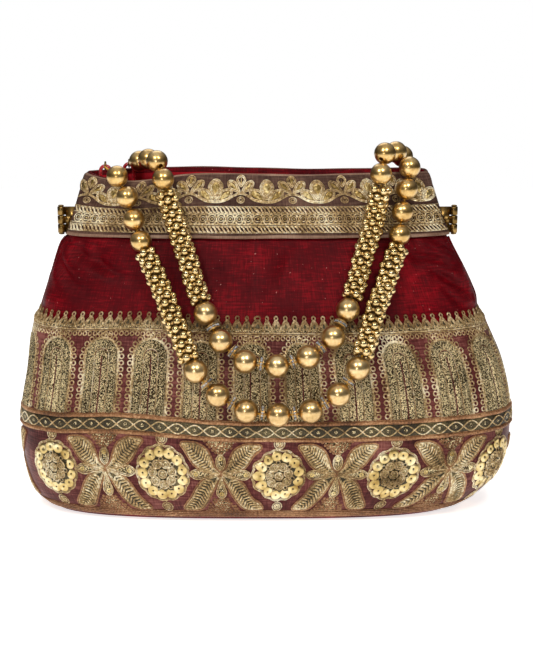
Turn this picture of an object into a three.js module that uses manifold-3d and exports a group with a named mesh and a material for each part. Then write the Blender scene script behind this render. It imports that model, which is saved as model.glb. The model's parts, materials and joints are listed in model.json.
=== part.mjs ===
// A potli bag with two strung-bead handles, in millimetres: +Z is up, the front faces -Y, and +X is
// to the right. The origin is the centre of the flat base, which rests on z = 0.
import * as THREE from 'three';
import { mergeVertices } from 'three/addons/utils/BufferGeometryUtils.js';
import Module from 'manifold-3d';

// Driving dimensions: the sack

const bagHeight = 176.5;
const wallSquareness = 2.8; // exponent of the superellipse that every level section follows
// Half-widths to the left and to the right of the centre line, and half the depth, up the sack
const sackOutline = [
  { level: 0, left: 108, right: 104, depth: 34 },
  { level: 0.05, left: 117, right: 118, depth: 42 },
  { level: 0.11, left: 121, right: 127, depth: 47.5 },
  { level: 0.28, left: 123.5, right: 133, depth: 51 },
  { level: 0.43, left: 119, right: 128.5, depth: 48 },
  { level: 0.56, left: 115.5, right: 118.5, depth: 42 },
  { level: 0.725, left: 105.5, right: 107, depth: 28 },
  { level: 0.86, left: 95.5, right: 96, depth: 18.5 },
  { level: 1, left: 86.5, right: 86.5, depth: 15 },
];
const clothGap = 0.3; // room kept between neighbouring layers
const silkThickness = 1;
const liningThickness = 0.9;
const liningSlack = 2; // how far the lining hangs inside the silk below the frame
const liningTopDrop = 2.5; // the lining's edge below the mouth's edge
const baseClothThickness = 1;
const baseBoardThickness = 2;
const baseBoardMargin = 4; // the board's edge inside the base cloth's edge
const girthLevel = 50; // height at which distances round the sack are measured
const columns = 16; // facets round each half of the sack
const turnWeight = 70; // facets grow denser by one per this many millimetres times a radian's turn

// Driving dimensions: border, band and embroidery

const borderBottom = 6;
const borderTop = 107;
const borderThickness = 1.2;
const stitchRelief = 0.8; // couched work above the border's ground
const waveBottom = 46;
const waveTop = 56;
const archPitch = 26.4;
const archWidth = 21;
const archBottom = 58.5;
const archTop = 94.5;
const archMiddle = 76; // the height at which an arch's legs bend with the wall
const archRib = 3.4;
const archShift = -2.5; // first arch's centre from the front's centre line
const motifPitch = 59; // from one medallion to the next
const motifShift = 11.5; // first medallion's centre from the front's centre line
const motifHeight = 28.5;
const motifMargin = 40; // from a side seam to the nearest motif's centre
const medallionRadius = 12.5;
const petals = 10;
const leafReach = 21; // from a leaf cross's centre to its tips
const leafWaist = 0.3; // between the leaves, as a share of their reach
const bandHeight = 32;
const bandThickness = 1.2;

// Driving dimensions: the spring frame in the mouth

const stripHeight = 13.5;
const stripThickness = 0.5;
const bandEndTrim = 4; // how far the bands stop short of the frame's hinges
const knuckleRadius = 1.9;
const pinRadius = 0.8;
const pinClearance = 0.3;
const pinHeadRadius = 1.5;
const pinHeadThickness = 0.6;
const hingeFacets = 8;

// Driving dimensions: the handles

const mediumBead = 11;
const largeBead = 12;
const beadBore = 2.6;
const beadShoulder = 0.72; // angle from a bead's middle to the facet edge towards its bore, in radians
const cordDiameter = 1;
const sleeveDiameter = 12;
const sleeveLength = 59;
const sleeveRows = 19;
const sleeveBeadsPerRow = 6;
const sleeveBead = 4;
const sleeveDip = 0.35; // how far the valleys between small beads lie in, as a share of a bead
const spacerDiameter = 7;
const spacerWidth = 2.6;
const mediumPerLeg = 4;
const largeBeads = 7;
const ringRadius = 1.9;
const ringWireRadius = 0.4;
const wireSides = 5;
const ringFacets = 10;
const tabLoopRadius = 0.7;
const tabSpan = 5;
const tabInset = 1.2; // a tab's extra room to the lining's faceted wall
const tabDepth = 14; // how far a tab's ends reach down inside the mouth
const ringLift = 3.2; // a ring's centre above the mouth's edge
const frontPlay = 0.75; // bare cord between neighbouring beads
const backPlay = 0.7;
const beadFacets = 8;
const cordSides = 6;
const cordTuck = 1; // how far a swinging cord ends inside its end beads
const restGap = 0.35; // between a resting bead and the cloth under it

// Materials

const finish = (color, roughness, metalness) =>
  new THREE.MeshStandardMaterial({ color, roughness, metalness });
const silkCloth = () => finish(0x8c0a1e, 0.6, 0);
const liningCloth = () => finish(0xb01326, 0.7, 0);
const borderCloth = () => finish(0xa5854c, 0.55, 0.3);
const bandCloth = () => finish(0x8f6a4c, 0.6, 0.2);
const boardCard = () => finish(0x6f5f50, 0.9, 0);
const frameBrass = () => finish(0xb08d45, 0.35, 1);
const goldBead = () => finish(0xc9a04e, 0.25, 1);
const goldSleeve = () => finish(0xc4a765, 0.3, 1);
const stringCord = () => finish(0xc79a3a, 0.6, 0.2);
const satin = () => finish(0xc41022, 0.3, 0);

// The sack's wall as a surface: a point is set by its distance u round the sack from the front's
// centre line (at girthLevel), its height z, and how far it stands outside the silk

const outlineHeights = sackOutline.map((station) => station.level * bagHeight);
const outlineValues = sackOutline.flatMap(({ left, right, depth }) => [left, right, depth]);
const outlineCurve = new THREE.CubicInterpolant(outlineHeights, outlineValues, 3);

function sackAt(z) {
  const [left, right, depth] = outlineCurve.evaluate(THREE.MathUtils.clamp(z, 0, bagHeight));
  return { left, right, depth };
}

function sectionPoint(angle, z, out) {
  const { left, right, depth } = sackAt(z);
  const cosine = Math.cos(angle);
  const sine = Math.abs(Math.sin(angle));
  const halfWidth = cosine < 0 ? left : right;
  const power = 2 / wallSquareness;
  const x = Math.sign(cosine) * halfWidth * Math.abs(cosine) ** power;
  const y = depth * sine ** power;
  const slopeX = (Math.sign(cosine) * Math.abs(x / halfWidth) ** (wallSquareness - 1)) / halfWidth;
  const slopeY = (y / depth) ** (wallSquareness - 1) / depth;
  const scale = out / Math.hypot(slopeX, slopeY);
  return [x + slopeX * scale, y + slopeY * scale];
}

// Walks the front half of the section at girthLevel from the left seam to the right one, and keeps
// at each step the distance walked and a measure that also grows where the wall turns
const girthSteps = 240;
const girthTable = [0];
const turnTable = [0];
let lastHeading;
for (let step = 1; step <= girthSteps; step += 1) {
  const before = sectionPoint(Math.PI * (1 - (step - 1) / girthSteps), girthLevel, 0);
  const after = sectionPoint(Math.PI * (1 - step / girthSteps), girthLevel, 0);
  const distance = Math.hypot(after[0] - before[0], after[1] - before[1]);
  const heading = Math.atan2(after[1] - before[1], after[0] - before[0]);
  const turned = step > 1 ? Math.abs(heading - lastHeading) : 0;
  lastHeading = heading;
  girthTable.push(girthTable[step - 1] + distance);
  turnTable.push(turnTable[step - 1] + distance + turnWeight * turned);
}
const leftGirth = girthTable[girthSteps / 2];
const rightGirth = girthTable[girthSteps] - leftGirth;

// The step of a growing table at which it reaches a value, with a fraction
function stepAt(table, value) {
  let step = 1;
  while (step < girthSteps && table[step] < value) step += 1;
  const part = (value - table[step - 1]) / (table[step] - table[step - 1]);
  return step - 1 + THREE.MathUtils.clamp(part, 0, 1);
}

const angleAt = (u) => Math.PI * (1 - stepAt(girthTable, u + leftGirth) / girthSteps);

// The places of the sheets' columns of vertices, closer together where the wall turns
const columnPlaces = [];
for (let column = 0; column <= columns; column += 1) {
  const step = stepAt(turnTable, (turnTable[girthSteps] * column) / columns);
  const low = Math.min(Math.floor(step), girthSteps - 1);
  const distance = THREE.MathUtils.lerp(girthTable[low], girthTable[low + 1], step - low);
  columnPlaces.push(distance - leftGirth);
}

const frontSide = -1;
const backSide = 1;

function wallPoint(side, u, z, out) {
  const [x, y] = sectionPoint(angleAt(u), z, out);
  return new THREE.Vector3(x, side * (y + clothGap / 2), z);
}

// Moves every vertex of a geometry and drops what the move leaves stale
function reshape(geometry, move) {
  const bare = new THREE.BufferGeometry();
  bare.setIndex(geometry.getIndex());
  bare.setAttribute('position', geometry.getAttribute('position').clone());
  const position = bare.getAttribute('position');
  const point = new THREE.Vector3();
  for (let index = 0; index < position.count; index += 1) {
    move(point.fromBufferAttribute(position, index));
    position.setXYZ(index, point.x, point.y, point.z);
  }
  return mergeVertices(bare, 1e-4);
}

// A sheet of cloth over one half of the sack, with a row of vertices at each height in rows
function wrapSheet(side, rows, inner, outer, trim = 0) {
  const last = rows.length - 1;
  const sheet = new THREE.BoxGeometry(1, 1, 1, columns, last, 1);
  return reshape(sheet, (point) => {
    const across = side === frontSide ? point.x + 0.5 : 0.5 - point.x;
    const z = rows[Math.round((point.y + 0.5) * last)];
    const columnPlace = columnPlaces[Math.round(across * columns)];
    const u = THREE.MathUtils.clamp(columnPlace, trim - leftGirth, rightGirth - trim);
    point.copy(wallPoint(side, u, z, point.z > 0 ? outer : inner));
  });
}

// Bends a flat piece, drawn as seen from outside with its thickness along +Z, onto the wall
function wrapPiece(side, geometry, u, z) {
  return reshape(geometry, (point) => {
    const across = side === frontSide ? u + point.x : u - point.x;
    point.copy(wallPoint(side, across, z + point.y, point.z));
  });
}

// Joining solids

const wasm = await Module();
wasm.setup();

function toManifold(geometry) {
  const position = geometry.getAttribute('position');
  const vertProperties = new Float32Array(position.array);
  const triVerts = new Uint32Array(geometry.getIndex().array);
  return new wasm.Manifold(new wasm.Mesh({ numProp: 3, vertProperties, triVerts }));
}

function joined(geometries) {
  const solid = geometries.map(toManifold).reduce((sum, next) => sum.add(next));
  const mesh = solid.getMesh();
  const geometry = new THREE.BufferGeometry();
  geometry.setAttribute('position', new THREE.BufferAttribute(mesh.vertProperties, 3));
  geometry.setIndex(new THREE.BufferAttribute(mesh.triVerts, 1));
  return geometry;
}

const bareMerged = (geometry) => reshape(geometry, () => {});

const bag = new THREE.Group();

function place(name, geometry, material, parent = bag) {
  const mesh = new THREE.Mesh(geometry, material);
  mesh.name = name;
  parent.add(mesh);
  return mesh;
}

// Silk panels, base cloth, base board and lining

const bandBottom = bagHeight - bandHeight;
const silkMiddle = (borderTop + bandBottom) / 2;
const stripBottom = bandBottom;
const stripTop = stripBottom + stripHeight;
const silkRows = [0, 3, borderBottom, 14, 28, waveBottom, waveTop, archMiddle, 92, borderTop];
silkRows.push(silkMiddle, bandBottom, stripTop, bagHeight);
const seamColumns = columns * 2;

// A closed loop of vertices round the whole sack at one height
function sackLoop(z, out) {
  const loop = [];
  for (let index = 0; index < seamColumns; index += 1) {
    const front = index < columns;
    const column = front ? index : seamColumns - index;
    const [x, y] = sectionPoint(angleAt(columnPlaces[column]), z, out);
    loop.push(new THREE.Vector3(x, front ? -y : y, z));
  }
  return loop;
}

// A closed solid through a list of loops, with a fan of triangles over the first and the last
function loftLoops(loops) {
  const count = loops[0].length;
  const vertices = loops.flat();
  const faces = [];
  for (let ring = 0; ring + 1 < loops.length; ring += 1) {
    for (let index = 0; index < count; index += 1) {
      const a = ring * count + index;
      const b = ring * count + ((index + 1) % count);
      faces.push(a, b, b + count, a, b + count, a + count);
    }
  }
  const centre = (loop) =>
    loop.reduce((sum, vertex) => sum.add(vertex), new THREE.Vector3()).divideScalar(count);
  const first = vertices.push(centre(loops[0])) - 1;
  const last = vertices.push(centre(loops.at(-1))) - 1;
  const top = (loops.length - 1) * count;
  for (let index = 0; index < count; index += 1) {
    const next = (index + 1) % count;
    faces.push(first, next, index, last, top + index, top + next);
  }
  const geometry = new THREE.BufferGeometry().setFromPoints(vertices);
  geometry.setIndex(faces);
  return geometry;
}

place('silk_front', wrapSheet(frontSide, silkRows, -silkThickness, 0), silkCloth());
place('silk_back', wrapSheet(backSide, silkRows, -silkThickness, 0), silkCloth());

const baseEdge = -silkThickness - clothGap;
place(
  'silk_base',
  loftLoops([sackLoop(0, baseEdge), sackLoop(baseClothThickness, baseEdge)]),
  silkCloth(),
);

const boardBottom = baseClothThickness + clothGap;
const boardTop = boardBottom + baseBoardThickness;
const boardLoop = (z) => sackLoop(0, baseEdge - baseBoardMargin).map((point) => point.setZ(z));
place('base_board', loftLoops([boardLoop(boardBottom), boardLoop(boardTop)]), boardCard());

// The lining hangs loose below the frame and lies close to the silk at the mouth
const liningBottom = boardTop + clothGap;
const liningTop = bagHeight - liningTopDrop;
const closeOut = -silkThickness - clothGap;
const liningLevels = [liningBottom, 14, girthLevel, archMiddle, borderTop, silkMiddle];
liningLevels.push(bandBottom, stripTop, liningTop);
const liningOut = (z) => (z < bandBottom ? closeOut - liningSlack : closeOut);
const liningOuter = liningLevels.map((z) => sackLoop(z, liningOut(z)));
const liningInner = liningLevels
  .map((z, index) => sackLoop(index ? z : z + liningThickness, liningOut(z) - liningThickness))
  .reverse();
place('lining', loftLoops([...liningOuter, ...liningInner]), liningCloth());

// Embroidered border panels

// An arch: up one leg, round the crown and down the other, at a distance inside its outer edge
function archOutline(inset) {
  const half = archWidth / 2 - inset;
  const spring = archTop - archWidth / 2;
  const points = [];
  points.push([half, archBottom], [half, archMiddle], [half, spring]);
  for (const turn of [45, 90, 135, 180]) {
    const angle = THREE.MathUtils.degToRad(turn);
    points.push([half * Math.cos(angle), spring + half * Math.sin(angle)]);
  }
  points.push([-half, archMiddle], [-half, archBottom]);
  return points.map(([x, y]) => new THREE.Vector2(x, y));
}

const reliefInner = 0.4; // the relief starts inside the border's ground, so that the two join
const reliefOuter = clothGap + borderThickness + stitchRelief;

// A raised rib that follows the arch's outline, archRib wide
function archPiece() {
  const outer = archOutline(0);
  const inner = archOutline(archRib);
  const last = outer.length - 1;
  return reshape(new THREE.BoxGeometry(1, 1, 1, last, 1, 1), (point) => {
    const index = Math.round((0.5 - point.x) * last);
    const { x, y } = (point.y > 0 ? outer : inner)[index];
    point.set(x, y, point.z > 0 ? reliefOuter : reliefInner);
  });
}

// A low dome on a round or starry rim: every second facet of the rim is drawn in to a share of
// the radius
function domePiece(radius, facets, waist = 1) {
  const shoulder = reliefOuter - stitchRelief / 2;
  const outline = [
    [0, reliefInner],
    [radius / 2, reliefInner],
    [radius, reliefInner],
    [radius, shoulder],
    [radius / 2, reliefOuter],
    [0, reliefOuter],
  ].map(([x, y]) => new THREE.Vector2(x, y));
  const dome = new THREE.LatheGeometry(outline, facets).rotateX(Math.PI / 2);
  const facetTurn = (2 * Math.PI) / facets;
  return reshape(dome, (point) => {
    const facet = Math.round(Math.atan2(point.y, point.x) / facetTurn);
    const share = facet % 2 ? 1 : waist;
    point.set(point.x * share, point.y * share, point.z);
  });
}

const medallionPiece = () => domePiece(medallionRadius, petals);
const leafCrossPiece = () => domePiece(leafReach, 8, leafWaist);

const borderRows = silkRows.filter((z) => z >= borderBottom && z <= borderTop);
const wholePitches = (shift, pitch, margin) => {
  const places = [];
  const first = Math.ceil((-leftGirth + margin - shift) / pitch);
  for (let u = shift + first * pitch; u <= rightGirth - margin; u += pitch) places.push(u);
  return places;
};

function borderPanel(side) {
  const ground = wrapSheet(side, borderRows, clothGap, clothGap + borderThickness);
  const pieces = [ground];
  pieces.push(wrapSheet(side, [waveBottom, waveTop], reliefInner, reliefOuter));
  for (const u of wholePitches(archShift, archPitch, archWidth / 2 + clothGap)) {
    pieces.push(wrapPiece(side, archPiece(), u, 0));
  }
  for (const u of wholePitches(motifShift, motifPitch, motifMargin)) {
    pieces.push(wrapPiece(side, medallionPiece(), u, motifHeight));
  }
  const leafShift = motifShift - motifPitch / 2;
  for (const u of wholePitches(leafShift, motifPitch, motifMargin)) {
    pieces.push(wrapPiece(side, leafCrossPiece(), u, motifHeight));
  }
  return joined(pieces);
}

place('border_front', borderPanel(frontSide), borderCloth());
place('border_back', borderPanel(backSide), borderCloth());

// Spring frame: two brass strips, hinged to each other at the ends by pins

const stripInner = clothGap;
const stripOuter = stripInner + stripThickness;
const knuckleReach = knuckleRadius + stripOuter + clothGap; // the pin's axis outside the silk
const knuckleGap = 0.4;

// The hinge axis stands upright, clear of the sack's side at the strips' lower edge, where it is widest
function hingeX(end) {
  const { left, right } = sackAt(stripBottom);
  return end * ((end < 0 ? left : right) + knuckleReach);
}

// A hinge knuckle: a tube round the pin from one height to another
function knuckle(end, from, to) {
  const bore = pinRadius + pinClearance;
  const tube = new THREE.LatheGeometry(
    [
      new THREE.Vector2(bore, from),
      new THREE.Vector2(knuckleRadius, from),
      new THREE.Vector2(knuckleRadius, to),
      new THREE.Vector2(bore, to),
      new THREE.Vector2(bore, from),
    ],
    hingeFacets,
  );
  tube.rotateX(Math.PI / 2);
  tube.translate(hingeX(end), 0, 0);
  return bareMerged(tube);
}

const thirds = (count) => stripBottom + (stripHeight * count) / 3;

function framePiece(side) {
  const rows = [stripBottom, stripTop];
  const strip = wrapSheet(side, rows, stripInner, stripOuter);
  const pieces = [strip];
  for (const end of [-1, 1]) {
    const spans = side === frontSide ? [[1, 2]] : [[0, 1], [2, 3]];
    for (const [low, high] of spans) {
      const from = thirds(low) + (low > 0 ? knuckleGap / 2 : 0);
      const to = thirds(high) - (high < 3 ? knuckleGap / 2 : 0);
      pieces.push(knuckle(end, from, to));
      pieces.push(knuckleLeaf(side, end, from, to));
    }
  }
  return joined(pieces);
}

// The leaf that carries a knuckle out from the strip's end to its tube
function knuckleLeaf(side, end, from, to) {
  const strip = end < 0 ? -leftGirth : rightGirth;
  const outer = Math.abs(hingeX(end)) - (pinRadius + pinClearance + knuckleRadius) / 2;
  return reshape(new THREE.BoxGeometry(1, stripThickness, 1), (point) => {
    const z = point.z > 0 ? to : from;
    const inner = Math.abs(wallPoint(side, strip, z, stripInner).x);
    const reach = point.x * end > 0 ? outer : inner;
    point.set(end * reach, point.y + side * (clothGap + stripThickness) / 2, z);
  });
}

place('frame_strip_front', framePiece(frontSide), frameBrass());
place('frame_strip_back', framePiece(backSide), frameBrass());

// A hinge pin: a round shank with a head at each end
function hingePin() {
  const low = stripBottom - clothGap;
  const high = stripTop + clothGap;
  const outline = [
    [0, low - pinHeadThickness],
    [pinHeadRadius, low - pinHeadThickness],
    [pinHeadRadius, low],
    [pinRadius, low],
    [pinRadius, high],
    [pinHeadRadius, high],
    [pinHeadRadius, high + pinHeadThickness],
    [0, high + pinHeadThickness],
  ].map(([x, y]) => new THREE.Vector2(x, y));
  return bareMerged(new THREE.LatheGeometry(outline, hingeFacets).rotateX(Math.PI / 2));
}

for (const [name, end] of [['hinge_pin_left', -1], ['hinge_pin_right', 1]]) {
  place(name, hingePin(), frameBrass()).position.set(hingeX(end), 0, 0);
}

// Bands round the mouth: each ends short of the frame's knuckles

const bandInner = stripOuter + clothGap;
const bandOuter = bandInner + bandThickness;
const bandRows = silkRows.filter((z) => z >= bandBottom);
for (const [name, side] of [['band_front', frontSide], ['band_back', backSide]]) {
  const band = wrapSheet(side, bandRows, bandInner, bandOuter, bandEndTrim);
  place(name, band, bandCloth());
}

// Handles: each is a cord strung with beads, hung from two rings that turn in satin loops

// How far before the sack's middle plane a thing at x lies that keeps a distance from the front
function frontDepth(x, z, clear = 0) {
  const { left, right, depth } = sackAt(z);
  const halfWidth = x < 0 ? left : right;
  const share = Math.min(Math.abs(x) / halfWidth, 0.99);
  const depthShare = (1 - share ** wallSquareness) ** (1 / wallSquareness);
  const slopeX = share ** (wallSquareness - 1) / halfWidth;
  const slopeY = depthShare ** (wallSquareness - 1) / depth;
  return depth * depthShare + (clear * Math.hypot(slopeX, slopeY)) / slopeY;
}

// Points along each handle from its left ring to its right ring, with heights measured from the
// mouth's edge. Those over the mouth are set in full; the rest give x and height, and lie on the
// sack's front. The string from its first to its last swinging medium bead turns about these two;
// what is strung beyond them stays on the mouth.
const frontHandle = {
  name: 'front_handle',
  side: frontSide,
  ringLeft: -77.5,
  ringRight: 80.5,
  firstSwinging: 1,
  lastSwinging: 8,
  leadLeft: 10.8,
  leadRight: 6.8,
  play: frontPlay,
  overLeft: [[-73.5, -14.8, 3.1]],
  hanging: [
    [-69, -2.5], [-64.3, -13.3], [-61, -24.8], [-57, -36], [-50, -50.5], [-42.8, -66.5],
    [-32.7, -90.2], [-28.5, -98], [-19.3, -107.5], [-5.6, -115.5], [10.7, -117.7], [26.8, -115.9],
    [40.8, -107.3], [49.9, -95.1], [55, -79.5], [61, -62.5], [69.5, -40.5], [71.5, -33],
    [73, -21.5], [75.3, -9.5], [76.4, 1.5],
  ],
  overRight: [[78.4, -12.8, 5.1]],
};
const backHandle = {
  name: 'back_handle',
  side: backSide,
  ringLeft: -66.5,
  ringRight: 80.5,
  firstSwinging: 3,
  lastSwinging: 6,
  leadLeft: 1,
  leadRight: 1,
  play: backPlay,
  overLeft: [[-60, 2.5, 4.7], [-55, -7.3, 6.5], [-50.3, -17, 6.7], [-47, -24, -0.5]],
  hanging: [
    [-44.8, -10.5], [-41, -21.5], [-37.3, -33.3], [-32, -48.5], [-25.7, -65.5], [-18, -79.3],
    [-7.3, -88.7], [9.4, -91.7], [25.4, -87.3], [38.2, -77.7], [45.5, -64.7], [50.5, -49.5],
    [55.9, -33.5], [60.5, -16.5],
  ],
  overRight: [[62.2, -24.8, 1], [64.6, -19, 10.8], [70.6, -10, 10.5], [74.8, 0.4, 7.5]],
};

// A ring's centre stands inside the mouth, clear of the lining
function ringCentre(side, x) {
  const layers = silkThickness + clothGap + liningThickness + clothGap + tabLoopRadius + tabInset;
  return new THREE.Vector3(x, side * (frontDepth(x, bagHeight) - layers), bagHeight + ringLift);
}

const clearOfFront = reliefOuter + clothGap / 2 + restGap + sleeveDiameter / 2;

const routeSteps = 600; // divisions at which a route's length is measured

// The route of a handle's cord, with its hanging part drawn down by a factor
function handleRoute(handle, drop) {
  const highest = handle.hanging[0][1];
  const hung = handle.hanging.map(([x, level]) => {
    const z = bagHeight + highest - drop * (highest - level);
    return new THREE.Vector3(x, -frontDepth(x, z, clearOfFront), z);
  });
  const over = (list) => list.map(([x, y, level]) => new THREE.Vector3(x, y, bagHeight + level));
  const points = [...over(handle.overLeft), ...hung, ...over(handle.overRight)];
  points.unshift(rimPoint(ringCentre(handle.side, handle.ringLeft), points[0]));
  points.push(rimPoint(ringCentre(handle.side, handle.ringRight), points.at(-1)));
  const route = new THREE.CatmullRomCurve3(points, false, 'centripetal');
  route.arcLengthDivisions = routeSteps;
  return route;
}

// The point in a ring's wire where the cord that leads to another point is tied
function rimPoint(centre, towards) {
  const away = towards.clone().sub(centre).setX(0).normalize();
  return centre.clone().addScaledVector(away, ringRadius);
}

// What is strung on a cord, in order, with each piece's length along it
function strungPieces() {
  const list = (kind, length, count, first = 1) =>
    Array.from({ length: count }, (_, index) => ({ kind, length, number: first + index }));
  const middle = list('large', largeBead, largeBeads).flatMap((bead, index) =>
    index ? [{ kind: 'spacer', length: spacerWidth, number: index }, bead] : [bead],
  );
  return [
    ...list('medium', mediumBead, mediumPerLeg),
    ...list('sleeve', sleeveLength, 1),
    ...middle,
    ...list('sleeve', sleeveLength, 1, 2),
    ...list('medium', mediumBead, mediumPerLeg, mediumPerLeg + 1),
  ];
}

const dropRange = [0.5, 1.6];
const dropHalvings = 24;

// The route whose drop makes it as long as what is strung on it
function fittedRoute(handle, needed) {
  let [low, high] = dropRange;
  for (let halving = 0; halving < dropHalvings; halving += 1) {
    const middle = (low + high) / 2;
    if (handleRoute(handle, middle).getLength() < needed) low = middle;
    else high = middle;
  }
  return handleRoute(handle, low);
}

const alongY = new THREE.Vector3(0, 1, 0);
const firstAcross = new THREE.Vector3(0, 0.8, 0.6); // a loop's first spoke, away from every cord's start
const profile = (pairs) => pairs.map(([x, y]) => new THREE.Vector2(x, y));

// A turned bead with a bore along Y
function beadGeometry(diameter) {
  const radius = diameter / 2;
  const bore = beadBore / 2;
  const end = Math.sqrt(radius ** 2 - bore ** 2);
  const shoulder = radius * Math.cos(beadShoulder);
  const shoulderHeight = radius * Math.sin(beadShoulder);
  const outline = profile([
    [bore, -end],
    [shoulder, -shoulderHeight],
    [radius, 0],
    [shoulder, shoulderHeight],
    [bore, end],
    [bore, -end],
  ]);
  return bareMerged(new THREE.LatheGeometry(outline, beadFacets));
}

// Loops of vertices round a line of points, one for each entry { point, radii }, carried along
// without twisting
function loopsAlong(stations) {
  const loops = [];
  let across;
  stations.forEach(({ point, radii }, index) => {
    const next = stations[Math.min(index + 1, stations.length - 1)].point;
    const previous = stations[Math.max(index - 1, 0)].point;
    const along = next.clone().sub(previous).normalize();
    across = (across ?? firstAcross).clone();
    across.addScaledVector(along, -across.dot(along)).normalize();
    const up = along.clone().cross(across);
    loops.push(radii.map((radius, spoke) => {
      const turn = (2 * Math.PI * spoke) / radii.length;
      return point.clone()
        .addScaledVector(across, Math.cos(turn) * radius)
        .addScaledVector(up, Math.sin(turn) * radius);
    }));
  });
  return loops;
}

// A sleeve of small beads woven round the cord: rows of bumps, each row turned by half a bump
function sleeveGeometry(route, from) {
  const spokes = sleeveBeadsPerRow * 2;
  const high = sleeveDiameter / 2;
  const low = high - sleeveBead * sleeveDip;
  const margin = sleeveBead / 4; // from a sleeve's end to the crest of its last row
  const pointAt = (distance) => route.getPointAt((from + distance) / route.getLength());
  const rowAt = (row) => margin + ((sleeveLength - 2 * margin) * row) / (sleeveRows - 1);
  const rows = Array.from({ length: sleeveRows }, (_, row) => ({
    point: pointAt(rowAt(row)),
    radii: Array.from({ length: spokes }, (_, spoke) => ((spoke + row) % 2 ? low : high)),
  }));
  const bore = new Array(spokes).fill(beadBore / 2);
  const boreAt = (share) => ({ point: pointAt(sleeveLength * share), radii: bore });
  const outside = loopsAlong([boreAt(0), ...rows, boreAt(1)]);
  const inside = loopsAlong([boreAt(0), boreAt(0.25), boreAt(0.5), boreAt(0.75), boreAt(1)]);
  const loops = [...outside, ...inside.slice(1, -1).reverse()];
  return ringOfLoops(loops);
}

// A closed tube through loops of vertices, the last joined to the first
function ringOfLoops(loops) {
  const spokes = loops[0].length;
  const faces = [];
  loops.forEach((_, ring) => {
    const next = (ring + 1) % loops.length;
    for (let spoke = 0; spoke < spokes; spoke += 1) {
      const beside = (spoke + 1) % spokes;
      const [a, b] = [ring * spokes + spoke, ring * spokes + beside];
      const [c, d] = [next * spokes + spoke, next * spokes + beside];
      faces.push(a, b, d, a, d, c);
    }
  });
  const geometry = new THREE.BufferGeometry().setFromPoints(loops.flat());
  geometry.setIndex(faces);
  return geometry;
}

// A loop of satin cord sewn inside the mouth, its round crown passed through a ring
function tabGeometry() {
  const half = tabSpan / 2;
  const spring = -ringRadius + ringWireRadius + clothGap + tabLoopRadius - half;
  const path = [[-half, -tabDepth]];
  for (const turn of [180, 135, 90, 45, 0]) {
    const angle = THREE.MathUtils.degToRad(turn);
    path.push([half * Math.cos(angle), spring + half * Math.sin(angle)]);
  }
  path.push([half, -tabDepth]);
  const radii = new Array(cordSides).fill(tabLoopRadius);
  const stations = path.map(([x, z]) => ({ point: new THREE.Vector3(x, 0, z), radii }));
  return loftLoops(loopsAlong(stations));
}

// A run of cord, straight through each bead and bent between them
function cordGeometry(points) {
  const radii = new Array(cordSides).fill(cordDiameter / 2);
  return loftLoops(loopsAlong(points.map((point) => ({ point, radii }))));
}

// A flat wheel crimped to the cord between two large beads
function spacerGeometry({ origin, along }) {
  const [rim, half] = [spacerDiameter / 2, spacerWidth / 2];
  const outline = profile([[0, -half], [rim, -half], [rim, half], [0, half]]);
  const wheel = bareMerged(new THREE.LatheGeometry(outline, beadFacets));
  wheel.applyQuaternion(new THREE.Quaternion().setFromUnitVectors(alongY, along));
  return wheel.translate(origin.x, origin.y, origin.z);
}

// A wire ring held in its loop, with the end of the cord tied to it
function ringGeometry(centre, cordPoints) {
  const wire = new THREE.TorusGeometry(ringRadius, ringWireRadius, wireSides, ringFacets);
  wire.rotateY(Math.PI / 2);
  const ring = bareMerged(wire).translate(centre.x, centre.y, centre.z);
  return joined([ring, cordGeometry(cordPoints)]);
}

function buildHandle(handle) {
  const pieces = strungPieces();
  const strung = pieces.reduce((sum, piece) => sum + piece.length, 0);
  const bare = handle.leadLeft + handle.leadRight + handle.play * (pieces.length - 1);
  const route = fittedRoute(handle, strung + bare);
  const total = route.getLength();
  const swing = new THREE.Group();
  bag.add(swing);
  const spacers = [];
  const runs = { left: [route.getPointAt(0)], swing: [], right: [] };
  const runOf = ({ kind, number }) => {
    if (kind !== 'medium') return 'swing';
    if (number < handle.firstSwinging) return 'left';
    return number > handle.lastSwinging ? 'right' : 'swing';
  };
  let distance = handle.leadLeft;
  for (const piece of pieces) {
    const { kind, number, length } = piece;
    const name = handle.name + '_' + kind + '_' + number;
    const run = runOf(piece);
    const parent = run === 'swing' ? swing : bag;
    const share = (distance + length / 2) / total;
    const origin = route.getPointAt(share);
    const along = route.getTangentAt(share);
    const onAxis = (reach) => origin.clone().addScaledVector(along, reach);
    if (kind === 'sleeve') {
      place(name, sleeveGeometry(route, distance), goldSleeve(), parent);
      for (const part of [0, 0.25, 0.5, 0.75, 1]) {
        runs[run].push(route.getPointAt((distance + length * part) / total));
      }
    } else {
      const first = kind === 'medium' && number === handle.firstSwinging;
      const last = kind === 'medium' && number === handle.lastSwinging;
      if (first) runs.left.push(onAxis(-length / 2 - restGap));
      runs[run].push(onAxis(first ? cordTuck - length / 2 : -length / 2));
      runs[run].push(onAxis(last ? length / 2 - cordTuck : length / 2));
      if (last) runs.right.push(onAxis(length / 2 + restGap));
    }
    if (kind === 'spacer') spacers.push(spacerGeometry({ origin, along }));
    if (kind === 'medium' || kind === 'large') {
      const bead = place(name, beadGeometry(length), goldBead(), parent);
      bead.position.copy(origin);
      bead.quaternion.setFromUnitVectors(alongY, along);
    }
    distance += length + handle.play;
  }
  runs.right.push(route.getPointAt(1));
  const cord = joined([cordGeometry(runs.swing), ...spacers]);
  place(handle.name + '_cord', cord, stringCord(), swing);
  for (const end of ['left', 'right']) {
    const centre = ringCentre(handle.side, end === 'left' ? handle.ringLeft : handle.ringRight);
    place(handle.name + '_ring_' + end, ringGeometry(centre, runs[end]), frameBrass());
    place(handle.name + '_tab_' + end, tabGeometry(), satin()).position.copy(centre);
  }
}

buildHandle(frontHandle);
buildHandle(backHandle);

export default bag;
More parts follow.
